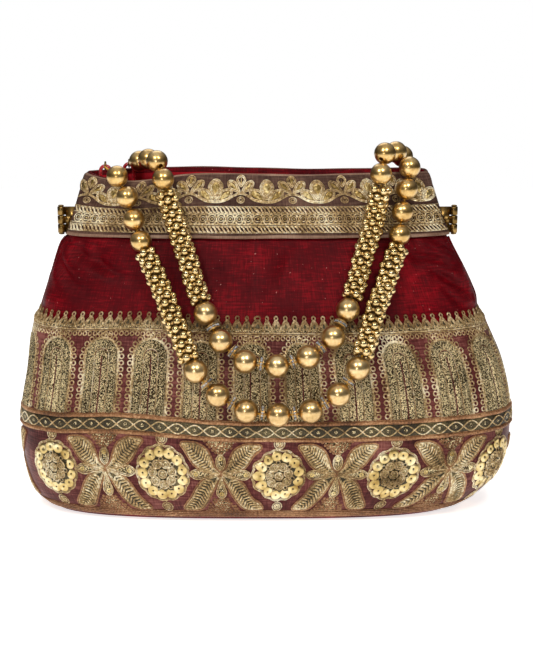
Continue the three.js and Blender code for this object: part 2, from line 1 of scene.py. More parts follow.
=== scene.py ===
# %% [markdown]
# # Dressing a potli bag
# A potli is a soft pouch of raw silk, worked with gold thread and carried by strings of beads. The packed
# model already gives every piece its place. This lesson works out each visible surface from a formula, lays
# it on the frame and gives it a finish. Lengths are in millimetres until a mesh is made, and then in metres.

import json

import bpy
import numpy as np
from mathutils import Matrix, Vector


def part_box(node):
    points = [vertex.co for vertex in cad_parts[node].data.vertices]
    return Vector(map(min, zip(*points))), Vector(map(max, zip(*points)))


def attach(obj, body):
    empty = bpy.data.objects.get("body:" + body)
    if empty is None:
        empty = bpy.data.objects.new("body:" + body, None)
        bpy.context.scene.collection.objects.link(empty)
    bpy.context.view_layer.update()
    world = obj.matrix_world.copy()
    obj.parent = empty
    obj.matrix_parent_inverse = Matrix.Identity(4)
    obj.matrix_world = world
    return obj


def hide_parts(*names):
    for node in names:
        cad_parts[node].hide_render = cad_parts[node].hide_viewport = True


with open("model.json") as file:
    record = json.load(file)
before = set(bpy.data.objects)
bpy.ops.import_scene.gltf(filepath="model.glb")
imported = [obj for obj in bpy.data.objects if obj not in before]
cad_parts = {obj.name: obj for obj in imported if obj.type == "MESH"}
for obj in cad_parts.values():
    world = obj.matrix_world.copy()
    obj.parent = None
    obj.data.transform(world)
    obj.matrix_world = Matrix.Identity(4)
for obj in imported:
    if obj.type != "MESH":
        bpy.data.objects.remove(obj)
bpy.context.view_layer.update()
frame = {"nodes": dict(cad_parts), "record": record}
MM = 0.001

# %% [markdown]
# ## The camera and the light
# The photograph looks slightly down on the bag from the front. A long lens keeps the sack's sides from
# spreading. Two soft boxes above give each bead its pair of white highlights, and the floor is plain and
# pale.

# %% Camera, floor and light
CAMERA_PLACE = (0.005, -0.750, 0.250)
CAMERA_AIM = (0.005, 0.0, 0.091)
LENS = 78.5


def aim(thing, place, target):
    """Stands a thing at a place and turns its -Z axis to the target."""
    thing.location = place
    thing.rotation_euler = (Vector(target) - Vector(place)).to_track_quat("-Z", "Y").to_euler()


def soft_box(name, place, target, size, power, tint=(1.0, 1.0, 1.0)):
    """A square lamp with soft edges that shines on the target."""
    lamp = bpy.data.lights.new(name, "AREA")
    lamp.size = size
    lamp.energy = power
    lamp.color = tint
    thing = bpy.data.objects.new(name, lamp)
    bpy.context.scene.collection.objects.link(thing)
    aim(thing, place, target)


camera = bpy.data.objects.new("camera", bpy.data.cameras.new("camera"))
bpy.context.scene.collection.objects.link(camera)
camera.data.lens = LENS
aim(camera, CAMERA_PLACE, CAMERA_AIM)
bpy.context.scene.camera = camera

BAG_MIDDLE = (0.0, 0.0, 0.09)
soft_box("box_left", (-0.30, -0.62, 0.78), BAG_MIDDLE, 0.16, 2.8, (1.0, 0.97, 0.92))
soft_box("box_right", (0.26, -0.60, 0.80), BAG_MIDDLE, 0.16, 2.4, (1.0, 0.97, 0.92))
soft_box("box_back", (-0.1, 0.8, 1.0), BAG_MIDDLE, 0.8, 2.6)
soft_box("box_above", (0.0, -0.1, 1.5), BAG_MIDDLE, 1.2, 1.0)
soft_box("box_front", (-0.22, -0.95, 0.28), BAG_MIDDLE, 0.1, 0.9)
bpy.context.scene.view_settings.view_transform = "Standard"

# The room is bright above and dim at eye level, so that metal has something dark to mirror. A ray from the
# camera that misses everything meets the white sweep behind the bag.
world = bpy.data.worlds.new("studio")
bpy.context.scene.world = world
world.use_nodes = True
room = world.node_tree
upright = room.nodes.new("ShaderNodeSeparateXYZ")
room.links.new(room.nodes.new("ShaderNodeTexCoord").outputs["Generated"], upright.inputs[0])
sky = room.nodes.new("ShaderNodeValToRGB")
room.links.new(upright.outputs["Z"], sky.inputs["Fac"])
sky.color_ramp.elements[0].position, sky.color_ramp.elements[0].color = 0.25, (0.045, 0.042, 0.04, 1.0)
sky.color_ramp.elements[1].position, sky.color_ramp.elements[1].color = 0.85, (0.42, 0.41, 0.4, 1.0)
sweep = room.nodes.new("ShaderNodeMix")
sweep.data_type = "RGBA"
room.links.new(room.nodes.new("ShaderNodeLightPath").outputs["Is Camera Ray"], sweep.inputs["Factor"])
room.links.new(sky.outputs["Color"], sweep.inputs[6])
sweep.inputs[7].default_value = (1.0, 1.0, 1.0, 1.0)
room.links.new(sweep.outputs[2], room.nodes["Background"].inputs["Color"])
room.nodes["Background"].inputs["Strength"].default_value = 1.0

# %% [markdown]
# ## Meshes from arrays
# A mesh is three lists: points, faces and the faces' map coordinates. Filling them with whole arrays is fast,
# and a surface stays readable as a formula over a grid.

# %% From arrays to a piece


def build(name, points, quads, tris=None, uv=None, smooth=True):
    """Makes a mesh object from points in millimetres, faces of four and of three, and one map point each."""
    mesh = bpy.data.meshes.new(name)
    quads = np.asarray(quads, int).reshape(-1, 4)
    tris = np.zeros((0, 3), int) if tris is None else np.asarray(tris, int).reshape(-1, 3)
    corners = np.concatenate([quads.ravel(), tris.ravel()])
    starts = np.concatenate([np.arange(len(quads)) * 4, len(quads) * 4 + np.arange(len(tris)) * 3])
    mesh.vertices.add(len(points))
    mesh.vertices.foreach_set("co", (np.asarray(points, float) * MM).ravel())
    mesh.loops.add(len(corners))
    mesh.loops.foreach_set("vertex_index", corners)
    mesh.polygons.add(len(starts))
    mesh.polygons.foreach_set("loop_start", starts)
    if uv is not None:
        layer = mesh.uv_layers.new(name="UVMap")
        layer.data.foreach_set("uv", np.asarray(uv, float)[corners].ravel())
    mesh.update(calc_edges=True)
    mesh.validate()
    mesh.polygons.foreach_set("use_smooth", np.full(len(mesh.polygons), smooth))
    thing = bpy.data.objects.new(name, mesh)
    bpy.context.scene.collection.objects.link(thing)
    return thing


def grid_faces(rows, columns, wrap_rows=False, wrap_columns=False):
    """Faces between the points of a grid numbered row by row, closed round either way if asked."""
    down = np.arange(rows if wrap_rows else rows - 1)
    across = np.arange(columns if wrap_columns else columns - 1)
    r, c = np.meshgrid(down, across, indexing="ij")
    after_r, after_c = (r + 1) % rows, (c + 1) % columns
    near, beside = r * columns + c, r * columns + after_c
    return np.stack([near, beside, after_r * columns + after_c, after_r * columns + c], -1).reshape(-1, 4)


def dress(thing, body, material, nodes=()):
    """Lets a piece ride on a body, gives it its finish and hides the nodes of the frame that it stands for.
    """
    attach(thing, body)
    if nodes:
        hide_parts(*nodes)
    thing.data.materials.append(material)
    return thing


floor_side = 1500.0
floor_points = np.array([[-1, -1, 0], [1, -1, 0], [1, 1, 0], [-1, 1, 0]]) * floor_side - (0, 0, 0.05)
floor = build("floor", floor_points, [[0, 1, 2, 3]], smooth=False)

# %% [markdown]
# ## Finishes
# Each finish is a Principled shader fed by a few small node groups. One group gives cloth its slubs, its
# weave and broad patches of painted light and shade; one gives gilt thread its tarnish and painted glints;
# and one twists a cord's strands. A group hands over only masks and heights, so the shader itself stays with
# its own material.

# %% Helpers for shader nodes


def paint(hexadecimal):
    """A colour written as on a paint card, turned into the linear values that a shader needs."""
    parts = np.array([(hexadecimal >> shift) & 255 for shift in (16, 8, 0)]) / 255
    linear = np.where(parts <= 0.04045, parts / 12.92, ((parts + 0.055) / 1.055) ** 2.4)
    return (*linear, 1.0)


def feed(tree, made, sockets):
    """Links each socket that a node is given, and sets each plain value."""
    for name, value in sockets.items():
        if isinstance(value, bpy.types.NodeSocket):
            tree.links.new(value, made.inputs[name])
        else:
            made.inputs[name].default_value = value
    return made


def add(tree, kind, sockets=None, **settings):
    """Adds a shader node, changes its settings and feeds its sockets."""
    made = tree.nodes.new("ShaderNode" + kind)
    for name, value in settings.items():
        setattr(made, name, value)
    return feed(tree, made, sockets or {})


def math_node(tree, operation, first, second=0.0):
    """One sum on two values."""
    return add(tree, "Math", {0: first, 1: second}, operation=operation).outputs[0]


def ramp(tree, value, stops):
    """Turns a value into a colour through a list of places and colours."""
    made = add(tree, "ValToRGB", {"Fac": value})
    elements = made.color_ramp.elements
    while len(elements) < len(stops):
        elements.new(0.5)
    for element, (place, tone) in zip(elements, stops):
        element.position = place
        element.color = tone if isinstance(tone, tuple) else paint(tone)
    return made.outputs["Color"]


def new_group(name, inputs, outputs):
    """An empty node group with named values in and out."""
    tree = bpy.data.node_groups.new(name, "ShaderNodeTree")
    for label, kind, default in inputs:
        socket = tree.interface.new_socket(label, in_out="INPUT", socket_type=kind)
        if default is not None:
            socket.default_value = default
    for label, kind in outputs:
        tree.interface.new_socket(label, in_out="OUTPUT", socket_type=kind)
    return tree, tree.nodes.new("NodeGroupInput"), tree.nodes.new("NodeGroupOutput")


def use_group(tree, group, sockets):
    """Places a node group in a tree with its own values."""
    made = tree.nodes.new("ShaderNodeGroup")
    made.node_tree = group
    return feed(tree, made, sockets)


def new_material(name, **values):
    """A material with one Principled shader. Its plain values are set on the shader's own sockets."""
    material = bpy.data.materials.new(name)
    material.use_nodes = True
    shader = material.node_tree.nodes["Principled BSDF"]
    for label, value in values.items():
        shader.inputs[label.replace("_", " ")].default_value = value
    return material, material.node_tree, shader


# %% [markdown]
# Raw silk is woven from uneven yarn: thick places called slubs run along both threads of the weave. The group
# stretches one noise along the weft and one along the warp. A third, broad one is painted light and shade:
# soft lighter and darker patches that stand for the glow and dimness of the cloth's folds. A fine square mesh
# stands for the threads.

# %% The weave group
FLOAT, VECTOR = "NodeSocketFloat", "NodeSocketVector"
weave, given, put = new_group(
    "weave",
    [("Place", VECTOR, None), ("Slub", FLOAT, 1.0), ("Threads", FLOAT, 2.0)],
    [("Shade", FLOAT), ("Height", FLOAT), ("Speck", FLOAT)],
)
weft_place = add(weave, "Mapping", {"Vector": given.outputs["Place"], "Scale": (0.11, 1.15, 1.0)}).outputs[0]
warp_place = add(weave, "Mapping", {"Vector": given.outputs["Place"], "Scale": (1.3, 0.14, 1.0)}).outputs[0]
weft = add(weave, "TexNoise", {"Vector": weft_place, "Scale": 1.0, "Detail": 3.0}).outputs[0]
warp = add(weave, "TexNoise", {"Vector": warp_place, "Scale": 1.0, "Detail": 3.0}).outputs[0]
WEFT_SHARE, WARP_SHARE, GLOW_AND_SHADE_SHARE = 0.36, 0.28, 0.36
weft_part = math_node(weave, "MULTIPLY", weft, WEFT_SHARE)
warp_part = math_node(weave, "MULTIPLY", warp, WARP_SHARE)
yarns = math_node(weave, "ADD", weft_part, warp_part)
# Painted light and shade: a broad noise lays soft lighter and darker patches over the cloth for the glow and
# dimness of its folds. It is added to the slubs, so the Shade and Height handed on carry it too.
painted_glow_and_shade = add(weave, "TexNoise", {"Vector": given.outputs["Place"], "Scale": 0.035, "Detail": 1.0}).outputs[0]
slubs = math_node(weave, "ADD", yarns, math_node(weave, "MULTIPLY", painted_glow_and_shade, GLOW_AND_SHADE_SHARE))
apart = add(weave, "SeparateXYZ", {0: given.outputs["Place"]})
turns = [
    math_node(weave, "SINE", math_node(weave, "MULTIPLY", apart.outputs[axis], given.outputs["Threads"]))
    for axis in (0, 1)
]
mesh_height = math_node(weave, "MULTIPLY", turns[0], turns[1])
slub_height = math_node(weave, "MULTIPLY", slubs, given.outputs["Slub"])
height = math_node(weave, "ADD", slub_height, math_node(weave, "MULTIPLY", mesh_height, 0.12))
specks = add(weave, "TexNoise", {"Vector": given.outputs["Place"], "Scale": 0.55, "Detail": 1.0}).outputs[0]
weave.links.new(slubs, put.inputs["Shade"])
weave.links.new(height, put.inputs["Height"])
SPECK_LIMIT = 0.76
weave.links.new(math_node(weave, "GREATER_THAN", specks, SPECK_LIMIT), put.inputs["Speck"])

# %% [markdown]
# Gilt thread tarnishes unevenly and its many small turns catch the light one by one. The group mixes a broad
# noise for the tarnish with a fine one for the glitter: its bright specks are painted glints in the colour.

# %% The tarnish group
tarnish, given, put = new_group(
    "tarnish",
    [("Place", VECTOR, None), ("Patch", FLOAT, 60.0), ("Grain", FLOAT, 900.0)],
    [("Tone", FLOAT), ("Glitter", FLOAT)],
)
broad, fine = (
    add(tarnish, "TexNoise", {"Vector": given.outputs["Place"], "Scale": given.outputs[size], "Detail": 2.0})
    for size in ("Patch", "Grain")
)
# Painted glints: half of the tone is the fine noise, whose bright specks stand for thread turns that catch
# the light.
halves = [math_node(tarnish, "MULTIPLY", noise.outputs[0], 0.5) for noise in (broad, fine)]
both = math_node(tarnish, "ADD", *halves)
tarnish.links.new(both, put.inputs["Tone"])
tarnish.links.new(fine.outputs[0], put.inputs["Glitter"])

# %% [markdown]
# A cord's map runs along it in millimetres and once round it from 0 to 1. A wave of the sum of the two winds
# round the cord like its strands.

# %% The twist group
twist, given, put = new_group(
    "twist",
    [("Place", VECTOR, None), ("Pitch", FLOAT, 1.2), ("Strands", FLOAT, 2.0)],
    [("Height", FLOAT)],
)
apart = add(twist, "SeparateXYZ", {0: given.outputs["Place"]})
along = math_node(twist, "DIVIDE", apart.outputs[0], given.outputs["Pitch"])
round_it = math_node(twist, "MULTIPLY", apart.outputs[1], given.outputs["Strands"])
phase = math_node(twist, "MULTIPLY", math_node(twist, "ADD", along, round_it), 2 * np.pi)
twist.links.new(math_node(twist, "MULTIPLY_ADD", math_node(twist, "SINE", phase), 0.5), put.inputs["Height"])

# %% [markdown]
# Cloth comes in five colours here: crimson silk, bright lining, dusty pink for the border, mauve-brown for
# the band and a paler brown for its hems. They share one recipe, with a sheen for the nap.

# %% Cloth finishes


def cloth_material(name, stops, roughness, sheen, slub, bump, speck=0.0):
    """Woven cloth: slubs and broad patches of painted light and shade tint its colour, specks are stray pale
    fibres, and the weave lifts it a little.
    """
    nap = (*paint(stops[-1][1])[:3], 1.0)
    material, tree, shader = new_material(
        name,
        Roughness=roughness,
        Specular_IOR_Level=0.07,
        Sheen_Weight=sheen,
        Sheen_Roughness=0.35,
        Sheen_Tint=nap,
    )
    place = add(tree, "UVMap", uv_map="UVMap").outputs[0]
    woven = use_group(tree, weave, {"Place": place, "Slub": slub, "Threads": 9.0})
    tone = ramp(tree, woven.outputs["Shade"], stops)
    if speck:
        amount = math_node(tree, "MULTIPLY", woven.outputs["Speck"], speck)
        pale = add(tree, "Mix", {"Factor": amount}, data_type="RGBA")
        tree.links.new(tone, pale.inputs[6])
        pale.inputs[7].default_value = paint(0xD89088)
        tone = pale.outputs[2]
    tree.links.new(tone, shader.inputs["Base Color"])
    lift = add(tree, "Bump", {"Height": woven.outputs["Height"], "Strength": bump, "Distance": 0.0004})
    tree.links.new(lift.outputs[0], shader.inputs["Normal"])
    return material


CRIMSON = [(0.3, 0x2C0106), (0.5, 0x56030B), (0.7, 0x9A0C1A)]
BRIGHT_RED = [(0.3, 0x7E0A14), (0.7, 0xB81826)]
DUSTY_PINK = [(0.38, 0x361817), (0.5, 0x5A2C2A), (0.62, 0x8A564E)]
MAUVE_BROWN = [(0.36, 0x32201A), (0.5, 0x4E3830), (0.66, 0x765A4C)]
PALE_BROWN = [(0.36, 0x644A3C), (0.5, 0x8A6C5A), (0.66, 0xA88C78)]
silk_finish = cloth_material("raw_silk", CRIMSON, roughness=0.4, sheen=0.06, slub=1.0, bump=0.8, speck=0.4)
lining_finish = cloth_material("lining_cloth", BRIGHT_RED, roughness=0.6, sheen=0.1, slub=0.5, bump=0.3)
border_finish = cloth_material("border_satin", DUSTY_PINK, roughness=0.36, sheen=0.08, slub=0.6, bump=0.3)
band_finish = cloth_material("band_cloth", MAUVE_BROWN, roughness=0.5, sheen=0.08, slub=0.6, bump=0.35)
band_hem = cloth_material("band_hem", PALE_BROWN, roughness=0.5, sheen=0.1, slub=0.6, bump=0.35)

# %% [markdown]
# Gilt work needs a cord finish with visible strands, a fill finish with a painted highlight on each knot and
# painted shade in its hollows, and a mirror-like one for sequins. All of them take their tarnish and their
# painted glints from the same group.

# %% Gilt finishes


def mottle(tree, shader, patch, grain, stops):
    """Gives a shader the tarnish group's tones, tarnish with painted glints, read from the piece's own Object
    coordinates.
    """
    place = add(tree, "TexCoord").outputs["Object"]
    tarnish_and_glints = use_group(tree, tarnish, {"Place": place, "Patch": patch, "Grain": grain})
    tree.links.new(ramp(tree, tarnish_and_glints.outputs["Tone"], stops), shader.inputs["Base Color"])
    return tarnish_and_glints


def gilt_material(name, stops, roughness, metallic, twist_pitch=0.0, grain=900.0, bump=0.0):
    """Gilt thread or foil: tarnish and painted glints run through its colours, and twisted strands or grains
    give it relief.
    """
    material, tree, shader = new_material(name, Metallic=metallic, Roughness=roughness)
    tarnish_and_glints = mottle(tree, shader, 60.0, grain, stops)
    if twist_pitch:
        place = add(tree, "UVMap", uv_map="UVMap").outputs[0]
        relief = use_group(tree, twist, {"Place": place, "Pitch": twist_pitch}).outputs["Height"]
    else:
        relief = tarnish_and_glints.outputs["Glitter"]
    if bump:
        lift = add(tree, "Bump", {"Height": relief, "Strength": bump, "Distance": 0.0005})
        tree.links.new(lift.outputs[0], shader.inputs["Normal"])
    return material


def knotted_material(name, stops, knots, roughness, metallic):
    """Close knots of gilt purl: each cell of a cell noise is a knot, with a painted highlight on top and
    painted shade in its hollows.
    """
    material, tree, shader = new_material(name, Metallic=metallic, Roughness=roughness)
    place = add(tree, "TexCoord").outputs["Object"]
    cells = add(tree, "TexVoronoi", {"Vector": place, "Scale": knots})
    tarnish_and_glints = use_group(tree, tarnish, {"Place": place, "Patch": 70.0, "Grain": 1500.0})
    # Painted light: the middle of each cell is painted bright as the knot's highlight, and its rim dark as
    # shade in the hollows between knots.
    shade = math_node(tree, "MULTIPLY_ADD", cells.outputs["Distance"], -1.1)
    shade = math_node(tree, "ADD", shade, tarnish_and_glints.outputs["Tone"])
    tree.links.new(ramp(tree, shade, stops), shader.inputs["Base Color"])
    lift = add(tree, "Bump", {"Height": shade, "Strength": 1.0, "Distance": 0.0005})
    tree.links.new(lift.outputs[0], shader.inputs["Normal"])
    return material


PALE_GILT = [(0.36, 0x705634), (0.5, 0xCCAE7A), (0.62, 0xFFF4D4)]
TAN = [(0.34, 0x5A3820), (0.5, 0x9C6C44), (0.66, 0xD0A478)]
ANTIQUE_GILT = [(0.34, 0x4E3822), (0.5, 0xB09060), (0.66, 0xFBE8BE)]
# The knot colours run from painted shade in the hollows, through the gilt's own tones, to a painted
# highlight.
KNOT_GILT_WITH_PAINTED_LIGHT = [(0.0, 0x1C150B), (0.1, 0x34291A), (0.3, 0x54442C), (0.43, 0x887248), (0.53, 0xF4E2B4)]
DARK_GILT = [(0.34, 0x1A150D), (0.5, 0x3C3320), (0.68, 0x80724C)]
CRINKLED_GILT = [(0.36, 0x5E4A28), (0.5, 0xA4884E), (0.62, 0xECD8A0)]
FOIL_GILT = [(0.36, 0x9C8048), (0.5, 0xCDB478), (0.64, 0xF4E6B8)]
bright_cord = gilt_material("bright_gilt_cord", PALE_GILT, 0.3, 0.6, twist_pitch=1.3, bump=0.5)
tan_cord = gilt_material("tan_cord", TAN, 0.55, 0.25, twist_pitch=1.5, bump=0.7)
antique_cord = gilt_material("antique_gilt_cord", ANTIQUE_GILT, 0.4, 0.7, twist_pitch=1.2, bump=0.6)
zari_fill = knotted_material("zari_fill", KNOT_GILT_WITH_PAINTED_LIGHT, knots=1500.0, roughness=0.34, metallic=0.75)
wave_ground = gilt_material("wave_ground", DARK_GILT, 0.42, 0.5, grain=1500.0, bump=0.6)
crinkled_foil = gilt_material("crinkled_foil", CRINKLED_GILT, 0.28, 0.9, grain=800.0, bump=0.9)
sequin_foil = gilt_material("sequin_foil", FOIL_GILT, 0.28, 1.0, grain=260.0)

# %% [markdown]
# The round beads are plastic under a bright gold coat. A thin clear coat over a slightly rough metal gives
# both the sharp highlight and the pearly glow round it.

# %% Bead, brass, thread and satin finishes


def coated_material(name, stops, roughness, coat):
    """Gold-coated plastic: a rough metal below a smooth clear coat, with a faint mottle."""
    material, tree, shader = new_material(
        name, Metallic=1.0, Roughness=roughness, Coat_Weight=coat, Coat_Roughness=0.06
    )
    mottle(tree, shader, 90.0, 500.0, stops)
    return material


MEDIUM_GOLD = [(0.3, 0xAC8646), (0.5, 0xD2AC68), (0.7, 0xECD096)]
LARGE_GOLD = [(0.3, 0xB09058), (0.5, 0xD6B47A), (0.7, 0xEED49E)]
BALL_GOLD = [(0.3, 0xB0945C), (0.5, 0xD2B880), (0.7, 0xECD8A8)]
bead_gold = coated_material("bead_gold", MEDIUM_GOLD, roughness=0.29, coat=0.7)
pearl_gold = coated_material("pearl_gold", LARGE_GOLD, roughness=0.3, coat=0.7)
sleeve_gold = coated_material("sleeve_gold", BALL_GOLD, roughness=0.22, coat=0.5)
brass = gilt_material("brass", [(0.3, 0x54401F), (0.5, 0x84683A), (0.7, 0xAA8C58)], 0.3, 1.0, grain=300.0)
yellow_thread = gilt_material("yellow_thread", [(0.3, 0xA8721C), (0.6, 0xE0A834)], 0.5, 0.2, 1.0, bump=0.5)
dark_core = gilt_material("sleeve_core", [(0.3, 0x2A1C0A), (0.7, 0x7A5A20)], 0.6, 0.3, 1.0, bump=0.5)
satin, tree, shader = new_material("red_satin", Roughness=0.18, Coat_Weight=0.4, Sheen_Weight=0.2)
place = add(tree, "UVMap", uv_map="UVMap").outputs[0]
# Painted sheen and shade: the twist's crests are painted bright red and the grooves between strands dark red;
# no bump lies under them.
strands = use_group(tree, twist, {"Place": place, "Pitch": 2.2, "Strands": 1.0})
tone = ramp(tree, strands.outputs["Height"], [(0.0, 0x8A0714), (1.0, 0xBC1422)])
tree.links.new(tone, shader.inputs["Base Color"])

crystal, tree, shader = new_material("rhinestone", Metallic=0.35, Roughness=0.04, Coat_Weight=1.0)
mottle(tree, shader, 300.0, 900.0, [(0.3, 0x565A60), (0.5, 0xA4AAB0), (0.6, 0xE8ECF0)])
card, tree, shader = new_material("board_card", Roughness=0.9)
mottle(tree, shader, 200.0, 2000.0, [(0.3, 0x6A5C4E), (0.7, 0x85766A)])
floor_paint, tree, shader = new_material(
    "floor_paint", Roughness=0.8, Emission_Color=(1, 1, 1, 1), Emission_Strength=0.72
)
mottle(tree, shader, 1.0, 20.0, [(0.2, 0xF6F5F3), (0.8, 0xFAF9F8)])
floor.data.materials.append(floor_paint)
print("finishes:", len(bpy.data.materials), "groups:", len(bpy.data.node_groups))

# %% [markdown]
# ## The sack's wall
# Every layer of cloth lies on one wall. At each height the sack's section is a superellipse, which is rounder
# than a box and boxier than an oval. Its half-widths and its depth follow smooth curves up the bag. A place
# on the wall is told by how far round it is (u), how high (z) and how far it stands out from the silk.

# %% The wall as a function
BAG_HEIGHT = 176.5
SQUARENESS = 2.8
HALF_GAP = 0.15
GIRTH_LEVEL = 50.0
STATION_LEVELS = np.array([0, 0.05, 0.11, 0.28, 0.43, 0.56, 0.725, 0.86, 1]) * BAG_HEIGHT
# At each level: half-width left, half-width right and half depth
STATION_SIZES = np.array(
    [
        [108, 104, 34],
        [117, 118, 42],
        [121, 127, 47.5],
        [123.5, 133, 51],
        [119, 128.5, 48],
        [115.5, 118.5, 42],
        [105.5, 107, 28],
        [95.5, 96, 18.5],
        [86.5, 86.5, 15],
    ]
)
FRONT, BACK = -1, 1


def sack_at(z):
    """Half-width left, half-width right and half depth at a height, by cubic pieces through the stations."""
    levels, sizes = STATION_LEVELS, STATION_SIZES
    z = np.clip(np.asarray(z, float), 0, BAG_HEIGHT)
    last = len(levels) - 2
    i = np.clip(np.searchsorted(levels, z, side="right") - 1, 0, last)
    before, after = np.where(i == 0, i + 1, i - 1), np.where(i == last, i, np.minimum(i + 2, last + 1))
    low, high = levels[i], levels[i + 1]
    half = (high - low) / 2
    lead = np.where(i == 0, -0.5, half / np.where(i == 0, 1, low - levels[before]))
    trail = np.where(i == last, -0.5, half / np.where(i == last, 1, levels[after] - high))
    p = (z - low) / (high - low)
    weights = (
        -lead * p**3 + 2 * lead * p**2 - lead * p,
        (1 + lead) * p**3 - (1.5 + 2 * lead) * p**2 + (lead - 0.5) * p + 1,
        -(1 + trail) * p**3 + (1.5 + trail) * p**2 + 0.5 * p,
        trail * p**3 - trail * p**2,
    )
    total = sum(w[..., None] * sizes[k] for w, k in zip(weights, (before, i, i + 1, after)))
    return total[..., 0], total[..., 1], total[..., 2]


def section(angle, z, out):
    """A point of the section, where |x/a|^n + |y/b|^n = 1, moved outwards along the curve's own slope."""
    left, right, depth = sack_at(z)
    cosine, sine = np.cos(angle), np.abs(np.sin(angle))
    half_width = np.where(cosine < 0, left, right)
    x = np.sign(cosine) * half_width * np.abs(cosine) ** (2 / SQUARENESS)
    y = depth * sine ** (2 / SQUARENESS)
    slope_x = np.sign(cosine) * np.abs(x / half_width) ** (SQUARENESS - 1) / half_width
    slope_y = (y / depth) ** (SQUARENESS - 1) / depth
    scale = out / np.hypot(slope_x, slope_y)
    return x + slope_x * scale, y + slope_y * scale


walk_angles = np.pi * (1 - np.arange(241) / 240)
walk_x, walk_y = section(walk_angles, GIRTH_LEVEL, 0.0)
walk = np.concatenate([[0], np.cumsum(np.hypot(np.diff(walk_x), np.diff(walk_y)))])
LEFT_SEAM = -walk[120]
RIGHT_SEAM = walk[240] - walk[120]


def wall(side, u, z, out):
    """Points of one half of the wall, from distances round it, heights and distances outside the silk."""
    u, z, out = np.broadcast_arrays(np.asarray(u, float), np.asarray(z, float), np.asarray(out, float))
    x, y = section(np.interp(u - LEFT_SEAM, walk, walk_angles), z, out)
    return np.stack([x, side * (y + HALF_GAP), z], -1)


print("round the front, seam to seam:", round(RIGHT_SEAM - LEFT_SEAM, 1), "mm")

# %% [markdown]
# ## How the cloth hangs
# Soft cloth is never as true as its pattern. The panels sink a little between their stitches, the silk puffs
# and creases between border and band, and the mouth's front edge dips on the left.

# %% Sag, creases and the dip of the mouth
MOUTH_DIP = 3.6
DIP_PLACE, DIP_REACH = -92.0, 30.0


def step(value, low, high):
    """A smooth step from 0 to 1 between two values."""
    t = np.clip((value - low) / (high - low), 0, 1)
    return t * t * (3 - 2 * t)


def sag(side, u, z):
    """How far all layers sink together: long shallow waves, always inwards, away from the beads."""
    turn = 0.0 if side == FRONT else 1.9
    waves = np.sin(u / 17 + z / 31 + turn) + np.sin(u / 29 - z / 19 + 2 * turn + 1) + np.sin(z / 13 + u / 47)
    return -0.28 * (waves + 3) * step(z, 4, 14) * (1 - 0.7 * step(z, 150, 170))


# A crease runs from one place to another: u and z of each end, its depth and its width
FRONT_CREASES = np.array(
    [
        [-130, 141, -72, 124, 3.4, 2.8],
        [-134, 133, -108, 121, 2.6, 2.4],
        [-108, 146, -92, 128, 2.0, 3.0],
        [-60, 144, -36, 112, 1.5, 4.5],
        [-20, 145, -8, 126, 1.3, 4.0],
        [30, 145, 10, 118, 1.9, 5.0],
        [58, 145, 84, 116, 1.7, 4.0],
        [96, 136, 134, 131, 3.6, 2.6],
        [104, 132, 142, 113, 3.8, 3.0],
        [118, 145, 142, 134, 2.8, 2.6],
        [112, 122, 128, 108, 2.4, 2.6],
    ]
)
BACK_CREASES = FRONT_CREASES * (-1, 1, -1, 1, 1, 1) + (4, 1, -6, -2, 0, 0)


def puff(side, u, z):
    """The silk's own relief between border and band: gathers below the band, a soft bulge and creases."""
    free = step(z, 105, 113) * (1 - step(z, 139, 146))
    gathers = 0.8 * np.sin(u / 4.3 + 2 * np.sin(u / 17)) * step(z, 124, 144) * free
    total = 0.9 * free + gathers + 0.7 * free * np.sin(u / 11 + z / 9)
    for u0, z0, u1, z1, depth, width in FRONT_CREASES if side == FRONT else BACK_CREASES:
        du, dz = u1 - u0, z1 - z0
        t = np.clip(((u - u0) * du + (z - z0) * dz) / (du * du + dz * dz), 0, 1)
        away = np.hypot(u - u0 - t * du, z - z0 - t * dz)
        beside = ((u - u0) * dz - (z - z0) * du) / np.hypot(du, dz)
        taper = np.sin(np.pi * np.clip(t, 0.08, 0.92))
        total = total - depth * taper * np.exp(-((away / width) ** 2)) * free
        ridge = np.exp(-(((away - 1.9 * width) / (1.6 * width)) ** 2))
        total = total + 0.45 * depth * taper * ridge * free * (beside > 0)
    return total


def dip(side, u, z):
    """How far the mouth's front edge drops on its left."""
    if side == BACK:
        return 0.6 * np.sin(u / 30) * step(z, 150, BAG_HEIGHT)
    reach = np.exp(-(((u - DIP_PLACE) / DIP_REACH) ** 2))
    return (MOUTH_DIP * reach + 0.4 * np.sin(u / 23)) * step(z, 148, BAG_HEIGHT)


def cloth(side, u, z, out):
    """A point of a layer of cloth, with the sag that all layers share."""
    return wall(side, u, z, out + sag(side, u, z)) - dip(side, u, z)[..., None] * np.array([0, 0, 1.0])


# %% [markdown]
# ## Cloth panels
# A panel is a grid of points on the wall, doubled a little further in for its thickness and closed round its
# rim. The map keeps the distances round and up, so that the weave keeps its scale.

# %% A panel with thickness


def panel(name, side, u, z, outer, inner, place=cloth):
    """A closed sheet between two distances from the silk, over a grid of u along columns and z along rows."""
    rows, columns = u.shape
    outer_points, inner_points = place(side, u, z, outer), place(side, u, z, inner)
    points = np.concatenate([outer_points.reshape(-1, 3), inner_points.reshape(-1, 3)])
    front = grid_faces(rows, columns)
    count = rows * columns
    index = np.arange(count).reshape(rows, columns)
    rim = np.concatenate([index[0, :-1], index[:-1, -1], index[-1, :0:-1], index[:0:-1, 0]])
    after = np.roll(rim, -1)
    sides = np.stack([rim, rim + count, after + count, after], -1)
    faces = np.concatenate([front, front[:, ::-1] + count, sides])
    if side == BACK:
        faces = faces[:, ::-1]
    chart = np.stack([u.ravel(), z.ravel()], -1)
    return build(name, points, faces, uv=np.concatenate([chart, chart]))


